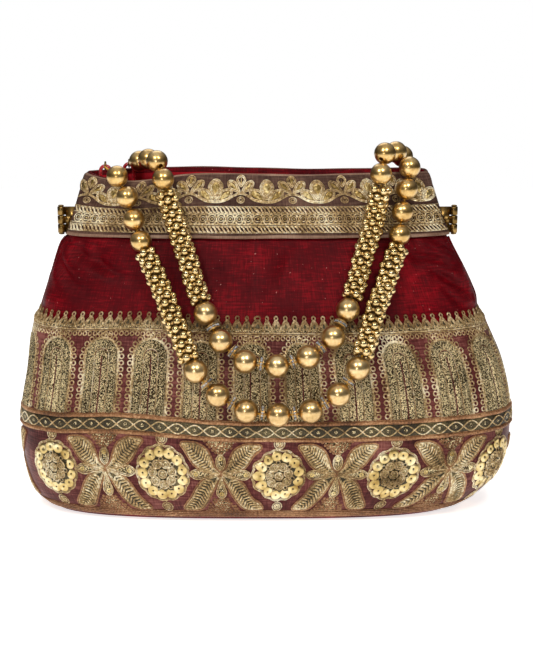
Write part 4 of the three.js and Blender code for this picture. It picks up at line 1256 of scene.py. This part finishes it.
band_heights = np.concatenate([[144.5, 145.1], np.linspace(146, 175, 30), [175.9, 176.5]])
for word, side in SIDES:
    v, z = np.meshgrid(np.linspace(BAND_LEFT + BAND_TRIM, BAND_RIGHT - BAND_TRIM, 150), band_heights)
    edge = np.minimum(np.minimum(z - BAND_BOTTOM, BAG_HEIGHT - z), 1.0)
    rise = BAND_RISE - 0.8 * (1 - edge) ** 2 + 0.35 * step(z, 170, 173) - 0.1 * np.sin(v / 9)
    sheet = panel("band_cloth_" + word, side, v, z, rise, BAND_FOOT + 0 * v, band_place)
    dress(sheet, "sack", band_finish, ["band_" + word])
    flat = ((BAND_RIGHT - BAND_LEFT - 2 * BAND_TRIM) * MM, (BAG_HEIGHT - BAND_BOTTOM) * MM)

# %% [markdown]
# A rope row is many short slanting loops, side by side. A flower is a few looped petals of cord with a shiny
# core, and long cords swing in festoons from flower to flower.

# %% Band needlework
band_cords, band_shine, band_hems = (Needlework() for _ in range(3))
band_row = np.linspace(BAND_LEFT + BAND_TRIM + 0.8, BAND_RIGHT - BAND_TRIM - 0.8, 260)


def band_pitched(shift, pitch, margin):
    """Places along the band at a pitch, as far as a margin from its ends."""
    first = int(np.ceil((BAND_LEFT + margin - shift) / pitch))
    last = int(np.floor((BAND_RIGHT - margin - shift) / pitch))
    return shift + pitch * np.arange(first, last + 1)


def band_line(z, wave=0.0):
    """A straight row along the band."""
    return np.stack([band_row, z + wave * np.sin(band_row / 5.0)], -1)


slant = smooth_path([(-1.6, 1.35), (-0.5, 0.95), (0.5, -0.95), (1.6, -1.35)], 7)
strand = bar(slant, 0.9, 0.95, BAND_RISE - 0.1, sides=5)
for z in (158.6, 149.0):
    band_cords.stamp(strand, at_height(band_pitched(0, 2.0, 6.5), z))
    for edge in (1.65, -1.65):
        band_cords.add(bar(band_line(z + edge), 0.42, 0.5, BAND_RISE - 0.1, sides=5))
hem_row = np.linspace(BAND_LEFT + BAND_TRIM + 0.7, BAND_RIGHT - BAND_TRIM - 0.7, 200)
for z, width in ((145.4, 2.0), (175.6, 2.2)):
    path = np.stack([hem_row, z + 0.1 * np.sin(hem_row / 6)], -1)
    band_hems.add(bar(path, width, 0.7, BAND_RISE - 0.55, sides=7, domed=True))
ring_row = at_height(band_pitched(0.5, 4.5, 8.0), 154.1)
band_cords.stamp(thread_ring(2.35, 0.34, BAND_RISE - 0.05, 14), ring_row)
band_cords.stamp(thread_ring(1.25, 0.26, BAND_RISE + 0.1, 10), ring_row)
band_cords.stamp(thread_ring(1.0, 0.3, BAND_RISE - 0.1, 7), ring_row + (2.25, 1.6))
band_cords.stamp(thread_ring(1.0, 0.3, BAND_RISE - 0.1, 7), ring_row + (2.25, -1.6))
band_shine.stamp(dome(0.6, 0.5, BAND_RISE - 0.15, 8), ring_row)
band_cords.add(bar(band_line(151.4, 0.05), 0.5, 0.55, BAND_RISE - 0.1, sides=5))

FLOWER_PITCH, FLOWER_SHIFT, FLOWER_LEVEL = 26.6, 5.2, 161.6
large_flowers = at_height(band_pitched(FLOWER_SHIFT, FLOWER_PITCH, 9.0), FLOWER_LEVEL)
small_flowers = at_height(band_pitched(FLOWER_SHIFT + FLOWER_PITCH / 2, FLOWER_PITCH, 9.0), FLOWER_LEVEL)


def petal(base, tip, width, fullness=0.62):
    """A looped petal: a closed path from its base round its tip, widest at its fullness."""
    base, tip = np.asarray(base, float), np.asarray(tip, float)
    way = tip - base
    side_way = np.array([-way[1], way[0]]) / np.linalg.norm(way) * width / 2
    corners = [base, base + way * 0.3 + side_way * 0.62, base + way * fullness + side_way]
    corners += [base + way * 0.9 + side_way * 0.6, tip, base + way * 0.9 - side_way * 0.6]
    corners += [base + way * fullness - side_way, base + way * 0.3 - side_way * 0.62]
    return smooth_path(corners, 34, closed=True)


def sew_petal(places, base, tip, width, rings=2):
    """Sews a petal at many places: cords round it and a shiny core."""
    path = petal(base, tip, width)
    for number in range(rings):
        inset = grown(path, -0.7 * number)
        band_cords.stamp(bar(inset, 0.62, 0.75, BAND_RISE - 0.05, sides=5, closed=True), places)
    base, tip = np.asarray(base, float), np.asarray(tip, float)
    core = [base + (tip - base) * share for share in (0.22, 0.5, 0.72, 0.88)]
    widths = np.array([0.5, 0.85, 1.0, 0.5]) * (width - 2.2)
    band_shine.stamp(bar(core, widths, 0.6, BAND_RISE - 0.15, sides=7, domed=True), places)


sew_petal(large_flowers, (0, 2.2), (0, 12.2), 7.6, 3)
sew_petal(large_flowers, (-0.8, 0.8), (-8.4, 6.8), 5.4)
sew_petal(large_flowers, (0.8, 0.8), (8.4, 6.8), 5.4)
sew_petal(small_flowers, (0, 8.6), (0, 14.2), 4.8)
sew_petal(small_flowers, (-0.5, 5.8), (-6.8, 11.2), 4.4)
sew_petal(small_flowers, (0.5, 5.8), (6.8, 11.2), 4.4)
band_cords.stamp(thread_ring(1.9, 0.3, BAND_RISE - 0.1, 12, 0.8), small_flowers + (0, 2.0))
band_cords.stamp(thread_ring(1.0, 0.3, BAND_RISE - 0.1, 8, 0.8), small_flowers + (0, 2.0))
swing_row = band_row[(band_row > BAND_LEFT + 5) & (band_row < BAND_RIGHT - 5)]
for lift, reach in ((0.6, 4.2), (1.35, 4.1)):
    phase = np.cos(2 * np.pi * (swing_row - FLOWER_SHIFT) / FLOWER_PITCH)
    festoon = FLOWER_LEVEL + lift + reach * (0.5 - 0.5 * phase) ** 1.6
    band_cords.add(bar(np.stack([swing_row, festoon], -1), 0.6, 0.7, BAND_RISE - 0.05, sides=5))

BAND_PARTS = (
    ("cords", band_cords, bright_cord),
    ("shine", band_shine, crinkled_foil),
    ("hems", band_hems, band_hem),
)
for word, side in SIDES:
    for label, work, finish in BAND_PARTS:
        piece = work.lay("band_" + label + "_" + word, side, band_place)
        dress(piece, "sack", finish, ["band_" + word])
        print(piece.name, "faces:", len(piece.data.polygons))

# %% [markdown]
# ## The strung handles
# The string passes through every bead's middle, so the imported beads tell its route. A sleeve is longer than
# a bead: slices across its node give the route inside it.

# %% The route of each string


def node_centre(name):
    """The middle of a node of the frame, in millimetres."""
    low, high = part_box(name)
    return (np.array(low) + np.array(high)) / 2 / MM


def node_points(name):
    """All points of a node's mesh, in millimetres."""
    mesh = frame["nodes"][name].data
    points = np.empty(len(mesh.vertices) * 3)
    mesh.vertices.foreach_get("co", points)
    return points.reshape(-1, 3) / MM


def sleeve_line(name, before, after, slices=7):
    """Middles of slices across a sleeve, between the beads before and after it."""
    points = np.unique(np.round(node_points(name), 3), axis=0)
    way = (after - before) / np.linalg.norm(after - before)
    distance = points @ way
    edges = np.linspace(distance.min(), distance.max() + 0.01, slices + 1)
    middles = []
    for low, high in zip(edges[:-1], edges[1:]):
        slice_points = points[(distance >= low) & (distance < high)]
        middles.append((slice_points.min(0) + slice_points.max(0)) / 2)
    ends = [middles[0] - (middles[1] - middles[0]) * 0.5, middles[-1] + (middles[-1] - middles[-2]) * 0.5]
    return np.array([ends[0], *middles, ends[1]])


def string_of(handle):
    """The middles of everything strung on a handle, in order, and the route through them."""
    names = [handle + "_medium_" + str(k) for k in (1, 2, 3, 4)] + [handle + "_sleeve_1"]
    names += [handle + "_large_" + str(k) for k in range(1, 8)] + [handle + "_sleeve_2"]
    names += [handle + "_medium_" + str(k) for k in (5, 6, 7, 8)]
    middles = {name: node_centre(name) for name in names}
    route, spans = [], {}
    for number, name in enumerate(names):
        if "sleeve" in name:
            line_points = sleeve_line(name, middles[names[number - 1]], middles[names[number + 1]])
            spans[name] = (len(route), len(route) + len(line_points))
            route.extend(line_points)
        else:
            spans[name] = (len(route), len(route) + 1)
            route.append(middles[name])
    return names, middles, np.array(route), spans


strings = {handle: string_of(handle) for handle in ("front_handle", "back_handle")}
for handle, (names, _, route, _) in strings.items():
    print(handle, "strung pieces:", len(names), "route:", round(float(run_length(route)[-1]), 1), "mm")

# %% [markdown]
# A bead is a turned form: a profile carried round the string. Its mouth is slightly dimpled, with a raised
# lip, and the bore goes right through.

# %% Turned beads


def across_and_up(way):
    """Two directions square to a way and to each other."""
    way = way / np.linalg.norm(way)
    guess = np.array([0, 0, 1.0]) if abs(way[2]) < 0.9 else np.array([1.0, 0, 0])
    first = np.cross(guess, way)
    first /= np.linalg.norm(first)
    return way, first, np.cross(way, first)


def turned(profile, centre, way, count=40):
    """A closed form of revolution: profile pairs (radius, place along) round the way through a centre."""
    way, first, second = across_and_up(way)
    turn = np.arange(count) * 2 * np.pi / count
    radius, place = profile[:, 0], profile[:, 1]
    ring = np.cos(turn)[:, None] * first + np.sin(turn)[:, None] * second
    points = centre + radius[:, None, None] * ring[None] + place[:, None, None] * way
    return points.reshape(-1, 3), grid_faces(len(profile), count, wrap_rows=True, wrap_columns=True)


def bead_profile(diameter, bore=2.2, steps=20):
    """From lip to lip over the bead, and back through the bore."""
    radius, hole = diameter / 2, bore / 2
    end = np.arccos(hole * 1.25 / radius)
    turn = np.linspace(-end, end, steps)
    outside = np.stack([radius * np.cos(turn), radius * np.sin(turn)], -1)
    lip = radius * np.sin(end)
    into_bore = np.array([[hole * 1.05, lip + 0.05], [hole, lip - 0.3]])
    return np.concatenate([outside, into_bore, into_bore[::-1] * (1, -1)])


def way_at(route, index):
    """The route's direction at one of its points."""
    low, high = max(index - 1, 0), min(index + 1, len(route) - 1)
    return route[high] - route[low]


MEDIUM_BEAD, LARGE_BEAD = 11.0, 12.0
bodies = frame["record"]["behaviour"]["bodies"]
body_of_node = {node: body for body, members in bodies.items() for node in members}
for handle, (names, middles, route, spans) in strings.items():
    for name in names:
        if "sleeve" in name:
            continue
        size, finish = (MEDIUM_BEAD, bead_gold) if "medium" in name else (LARGE_BEAD, pearl_gold)
        points, faces = turned(bead_profile(size), middles[name], way_at(route, spans[name][0]))
        bead = build(name + "_bead", points, faces)
        dress(bead, body_of_node[name], finish, [name])

# %% [markdown]
# A sleeve is woven from small balls: five to a row, each row turned by half a place, so that they nest. Tiny
# seed beads sit in the hollows between them, and a dark core shows behind.

# %% Sleeves of small balls


def ball(radius, rows, columns):
    """A small closed ball: points, faces of four and faces of three."""
    tilt = np.linspace(0, np.pi, rows + 1)[1:-1]
    turn = np.arange(columns) * 2 * np.pi / columns
    x, y = np.outer(np.sin(tilt), np.cos(turn)), np.outer(np.sin(tilt), np.sin(turn))
    z = np.outer(np.cos(tilt), np.ones(columns))
    ring = np.stack([x, y, z], -1).reshape(-1, 3)
    points = np.concatenate([ring, [[0, 0, 1], [0, 0, -1]]]) * radius
    quads = grid_faces(rows - 1, columns, wrap_columns=True)[:, ::-1]
    spoke = np.arange(columns)
    after = (spoke + 1) % columns
    base = (rows - 2) * columns
    upper = np.stack([np.full(columns, len(ring)), spoke, after], -1)
    lower = np.stack([np.full(columns, len(ring) + 1), base + after, base + spoke], -1)
    return points, quads, np.concatenate([upper, lower])


def many(shape, places):
    """Copies of a small form at many places, as one set of arrays."""
    points, quads, tris = shape
    offsets = (np.arange(len(places)) * len(points))[:, None, None]
    moved = (points[None] + places[:, None]).reshape(-1, 3)
    return moved, (quads[None] + offsets).reshape(-1, 4), (tris[None] + offsets).reshape(-1, 3)


def carried(points, count):
    """Points evenly along a line of points, with two directions square to it that do not twist."""
    length = run_length(points)
    at = np.linspace(0, length[-1], count)
    smooth = smooth_path(points, 200)
    far = run_length(smooth)
    at = at / length[-1] * far[-1]
    middle = np.stack([np.interp(at, far, smooth[:, k]) for k in range(3)], -1)
    way = np.gradient(middle, axis=0)
    way /= np.linalg.norm(way, axis=1, keepdims=True)
    _, first, _ = across_and_up(way[0])
    firsts = []
    for direction in way:
        first = first - direction * (first @ direction)
        first = first / np.linalg.norm(first)
        firsts.append(first)
    firsts = np.array(firsts)
    return middle, way, firsts, np.cross(way, firsts)


def tube(points, radius, count, sides=10):
    """A round closed tube along a line of points, its ends shut by fans."""
    middle, way, first, second = carried(points, count)
    turn = np.arange(sides) * 2 * np.pi / sides
    radius = np.broadcast_to(np.asarray(radius, float), (count,))[:, None, None]
    ring = np.cos(turn)[None, :, None] * first[:, None] + np.sin(turn)[None, :, None] * second[:, None]
    around = (middle[:, None] + radius * ring).reshape(-1, 3)
    quads = grid_faces(count, sides, wrap_columns=True)
    tris = end_fans(sides, len(around), len(around) + 1, (count - 1) * sides)
    length = run_length(middle)
    chart = np.stack(np.broadcast_arrays(length[:, None], np.arange(sides)[None] / sides), -1).reshape(-1, 2)
    chart = np.concatenate([chart, [[0, 0], [length[-1], 0]]])
    return np.concatenate([around, middle[[0, -1]]]), quads, tris, chart


def round_sleeve(angle, out, middle, first, second):
    """Places round a sleeve: middle + out * (first * cos + second * sin), for a grid of rows by columns."""
    spoke = np.cos(angle)[..., None] * first[:, None] + np.sin(angle)[..., None] * second[:, None]
    return (middle[:, None] + out * spoke).reshape(-1, 3)


ROW_BALLS, SLEEVE_ROWS, BALL_RADIUS, SLEEVE_RADIUS = 5, 17, 2.03, 6.0
SEED_RADIUS, SEED_OUT, CORE_RADIUS = 0.85, 4.25, 2.5
small_ball, seed = ball(BALL_RADIUS, 8, 11), ball(SEED_RADIUS, 5, 7)
for handle, (_, _, route, spans) in strings.items():
    for name in (handle + "_sleeve_1", handle + "_sleeve_2"):
        low, high = spans[name]
        middle, way, first, second = carried(route[low:high], SLEEVE_ROWS)
        inset = np.linspace(1.2, -1.2, SLEEVE_ROWS)[:, None] * way
        row, column = np.meshgrid(np.arange(SLEEVE_ROWS), np.arange(ROW_BALLS), indexing="ij")
        angle = (column + 0.5 * (row % 2)) * 2 * np.pi / ROW_BALLS
        places = round_sleeve(angle, SLEEVE_RADIUS - BALL_RADIUS, middle + inset, first, second)
        balls = build(name + "_balls", *many(small_ball, places))
        dress(balls, body_of_node[name], sleeve_gold, [name])
        between = angle + np.pi / ROW_BALLS
        seeds = many(seed, round_sleeve(between, SEED_OUT, middle + inset, first, second))
        dress(build(name + "_seeds", *seeds), body_of_node[name], bead_gold)
        core = build(name + "_core", *tube(route[low:high], CORE_RADIUS, 24, 12))
        dress(core, body_of_node[name], dark_core)
print("balls in each sleeve:", ROW_BALLS * SLEEVE_ROWS)

# %% [markdown]
# Between the large beads sit flat wheels: two gilt flanges with a ring of rhinestones between them. The
# string is a yellow thread through everything.

# %% Wheels, strings, rings and loops
flange = np.array([[0.6, -0.2], [3.3, -0.2], [3.5, 0], [3.3, 0.2], [0.6, 0.2]])
hub = np.array([[0.55, -1.1], [2.2, -1.1], [2.2, 1.1], [0.55, 1.1]])
STONES, STONES_OUT, THREAD_RADIUS = 11, 2.75, 0.5
stone_points = np.array([[1, 0, 0], [0, 1, 0], [-1, 0, 0], [0, -1, 0], [0, 0, 1], [0, 0, -1]], float) * 0.82
stone_faces = [[0, 1, 4], [1, 2, 4], [2, 3, 4], [3, 0, 4], [1, 0, 5], [2, 1, 5], [3, 2, 5], [0, 3, 5]]
stone = (stone_points, np.zeros((0, 4), int), np.array(stone_faces))
SWINGING = {"front_handle": (1, 8), "back_handle": (3, 6)}
for handle, (_, middles, route, spans) in strings.items():
    metal_points, metal_faces, stone_places, count = [], [], [], 0
    for number in range(1, 7):
        near, far = middles[handle + "_large_" + str(number)], middles[handle + "_large_" + str(number + 1)]
        centre, (way, first, second) = (near + far) / 2, across_and_up(far - near)
        for profile, shift in ((flange, -1.05), (flange, 1.05), (hub, 0.0)):
            points, faces = turned(profile, centre + way * shift, way, 20)
            metal_points.append(points)
            metal_faces.append(faces + count)
            count += len(points)
        turn = np.arange(STONES) * 2 * np.pi / STONES
        spokes = np.cos(turn)[:, None] * first + np.sin(turn)[:, None] * second
        stone_places.append(centre + STONES_OUT * spokes)
    wheels = build(handle + "_wheels", np.concatenate(metal_points), np.concatenate(metal_faces))
    dress(wheels, handle, bead_gold, [handle + "_cord"])
    stones = build(handle + "_stones", *many(stone, np.concatenate(stone_places)), smooth=False)
    dress(stones, handle, crystal, [handle + "_cord"])
    first_bead, last_bead = (handle + "_medium_" + str(k) for k in SWINGING[handle])
    low, high = spans[first_bead][0], spans[last_bead][0] + 1
    path = smooth_path(route[low:high], 260)
    thread = build(handle + "_thread", *tube(path, THREAD_RADIUS, 260, 7))
    dress(thread, handle, yellow_thread, [handle + "_cord"])

RING_RADIUS, RING_WIRE, RING_LEVEL = 1.9, 0.4, BAG_HEIGHT + 3.2
LOOP_RADIUS, LOOP_HALF, LOOP_FOOT = 0.95, 2.5, -14.0
for handle, (_, middles, _, _) in strings.items():
    first_moving, last_moving = SWINGING[handle]
    still_beads = {"left": range(1, first_moving + 1), "right": range(8, last_moving - 1, -1)}
    for word in ("left", "right"):
        tab_low, tab_high = (np.array(corner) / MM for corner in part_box(handle + "_tab_" + word))
        centre = (tab_low + tab_high) / 2
        centre[2] = RING_LEVEL
        turn = np.arange(28) * 2 * np.pi / 28
        ring = centre + RING_RADIUS * np.stack([0 * turn, np.cos(turn), np.sin(turn)], -1)
        out = (ring - centre) / RING_RADIUS
        wire = np.arange(10) * 2 * np.pi / 10
        outwards = np.cos(wire)[None, :, None] * out[:, None]
        sideways = np.sin(wire)[None, :, None] * np.array([1.0, 0, 0])
        points = ring[:, None] + RING_WIRE * (outwards + sideways)
        faces = grid_faces(28, 10, True, True)[:, ::-1]
        wire_ring = build(handle + "_ring_" + word + "_wire", points.reshape(-1, 3), faces)
        dress(wire_ring, "sack", brass, [handle + "_ring_" + word])
        stops = [middles[handle + "_medium_" + str(k)] for k in still_beads[word]]
        away = stops[0] - centre
        away[0] = 0
        rim = centre + away / np.linalg.norm(away) * RING_RADIUS
        tie_path = smooth_path([rim, (rim + stops[0]) / 2 + (0, 0, -0.2), *stops], 60)
        tie = build(handle + "_tie_" + word, *tube(tie_path, THREAD_RADIUS, 60, 7))
        dress(tie, "sack", yellow_thread, [handle + "_ring_" + word])
        half = LOOP_HALF
        crown = -RING_RADIUS + RING_WIRE + 0.3 + LOOP_RADIUS
        arc = np.linspace(np.pi, 0, 9)
        path = [(-half, LOOP_FOOT), (-half, -8), (-half, crown - half - 1)]
        path += [(half * np.cos(a), crown - half + half * np.sin(a)) for a in arc]
        path += [(half, crown - half - 1), (half, -8), (half, LOOP_FOOT)]
        path = np.array([(x, 0, z) for x, z in path]) + centre
        loop = build(handle + "_loop_" + word, *tube(path, LOOP_RADIUS, 60, 10))
        dress(loop, "sack", satin, [handle + "_tab_" + word])
print("rings and loops done")

# %% [markdown]
# ## The spring frame
# Two brass strips lie under the band and meet in a hinge at either side of the mouth. Only the hinges show,
# with the rolled knuckles of both strips on an upright pin.

# %% Strips, knuckles and pins
STRIP_BOTTOM, STRIP_THIRD, STRIP_FOOT, STRIP_FACE = 144.5, 4.5, 0.3, 0.8
KNUCKLE, PIN = 1.9, 0.8
BOX_FACES = np.array([[0, 2, 3, 1], [4, 5, 7, 6], [0, 1, 5, 4], [2, 6, 7, 3], [0, 4, 6, 2], [1, 3, 7, 5]])
strip_heights = np.linspace(STRIP_BOTTOM, STRIP_TOP, 9)
UPRIGHT = np.array([0, 0, 1.0])


def hinge_axis(end):
    """Where along x a hinge's pin stands, at the left end (-1) or the right one (1)."""
    left, right, _ = sack_at(np.array(STRIP_BOTTOM))
    return end * (float(left if end < 0 else right) + KNUCKLE + STRIP_FACE + CLOTH_GAP)


for word, side in SIDES:
    u, z = cloth_grid(strip_heights, 120)
    strip = panel("spring_strip_" + word, side, u, z, STRIP_FACE + 0 * u, STRIP_FOOT + 0 * u, wall)
    dress(strip, "sack", brass, ["frame_strip_" + word])
    points_all, faces_all, count = [], [], 0
    for end in (-1, 1):
        axis_x = hinge_axis(end)
        thirds = ((1, 2),) if side == FRONT else ((0, 1), (2, 3))
        for low, high in thirds:
            bottom = STRIP_BOTTOM + STRIP_THIRD * low + (0.2 if low else 0)
            top = STRIP_BOTTOM + STRIP_THIRD * high - (0.2 if high < 3 else 0)
            profile = [[1.1, bottom], [KNUCKLE - 0.15, bottom], [KNUCKLE, bottom + 0.15]]
            profile += [[KNUCKLE, top - 0.15], [KNUCKLE - 0.15, top], [1.1, top]]
            points, faces = turned(np.array(profile), np.array([axis_x, 0, 0]), UPRIGHT, 28)
            points_all.append(points)
            faces_all.append(faces + count)
            count += len(points)
            # A leaf carries the knuckle out from the strip's end, and a plate behind it closes the height
            seam = LEFT_SEAM if end < 0 else RIGHT_SEAM
            strip_ends = (wall(side, seam, level, STRIP_FOOT)[..., 0] for level in (bottom, STRIP_TOP))
            near, high_near = (float(np.abs(x)) - 1.0 for x in strip_ends)
            plates = [(near, 1.5, bottom, top, 0.65), (high_near, 2.4, STRIP_BOTTOM, STRIP_TOP, 0.6)]
            for inner_x, short, low_z, high_z, depth in plates[: 2 if low < 2 else 1]:
                x, y = np.sort([end * inner_x, axis_x - end * short]), np.sort([side * 0.15, side * depth])
                points_all.append(np.array([[a, b, c] for c in (low_z, high_z) for b in y for a in x]))
                faces_all.append(BOX_FACES + count)
                count += 8
    knuckles = build("knuckles_" + word, np.concatenate(points_all), np.concatenate(faces_all))
    dress(knuckles, "sack", brass, ["frame_strip_" + word])
for word, end in (("left", -1), ("right", 1)):
    low, high = STRIP_BOTTOM - 0.3, STRIP_TOP + 0.3
    outline = [[0.02, low - 0.6], [1.1, low - 0.6], [1.5, low - 0.3], [1.5, low], [PIN, low]]
    outline += [[PIN, high], [1.5, high], [1.5, high + 0.3], [1.1, high + 0.6], [0.02, high + 0.6]]
    points, faces = turned(np.array(outline), np.array([hinge_axis(end), 0, 0]), UPRIGHT, 28)
    pin = build("pin_" + word, points, faces)
    dress(pin, "sack", brass, ["hinge_pin_" + word])
# A silk piping covers each side seam: it follows the silk's edge above the border and the satin's below
PIPING_RADIUS = 0.85
for word, seam in (("left", LEFT_SEAM), ("right", RIGHT_SEAM)):
    z = np.linspace(1.0, 142.4, 60)
    on_silk, on_satin = silk_place(FRONT, seam, z, 0.3), cloth(FRONT, seam, z, 1.3 * step(z, 1.5, 3) + 0.4)
    above = step(z, 100, 105)[:, None]
    path = (on_silk * above + on_satin * (1 - above)) * (1, 0, 1)
    piping = build("side_piping_" + word, *tube(path, PIPING_RADIUS, 90, 8))
    dress(piping, "sack", silk_finish)
frame["nodes"]["base_board"].data.materials.clear()
frame["nodes"]["base_board"].data.materials.append(card)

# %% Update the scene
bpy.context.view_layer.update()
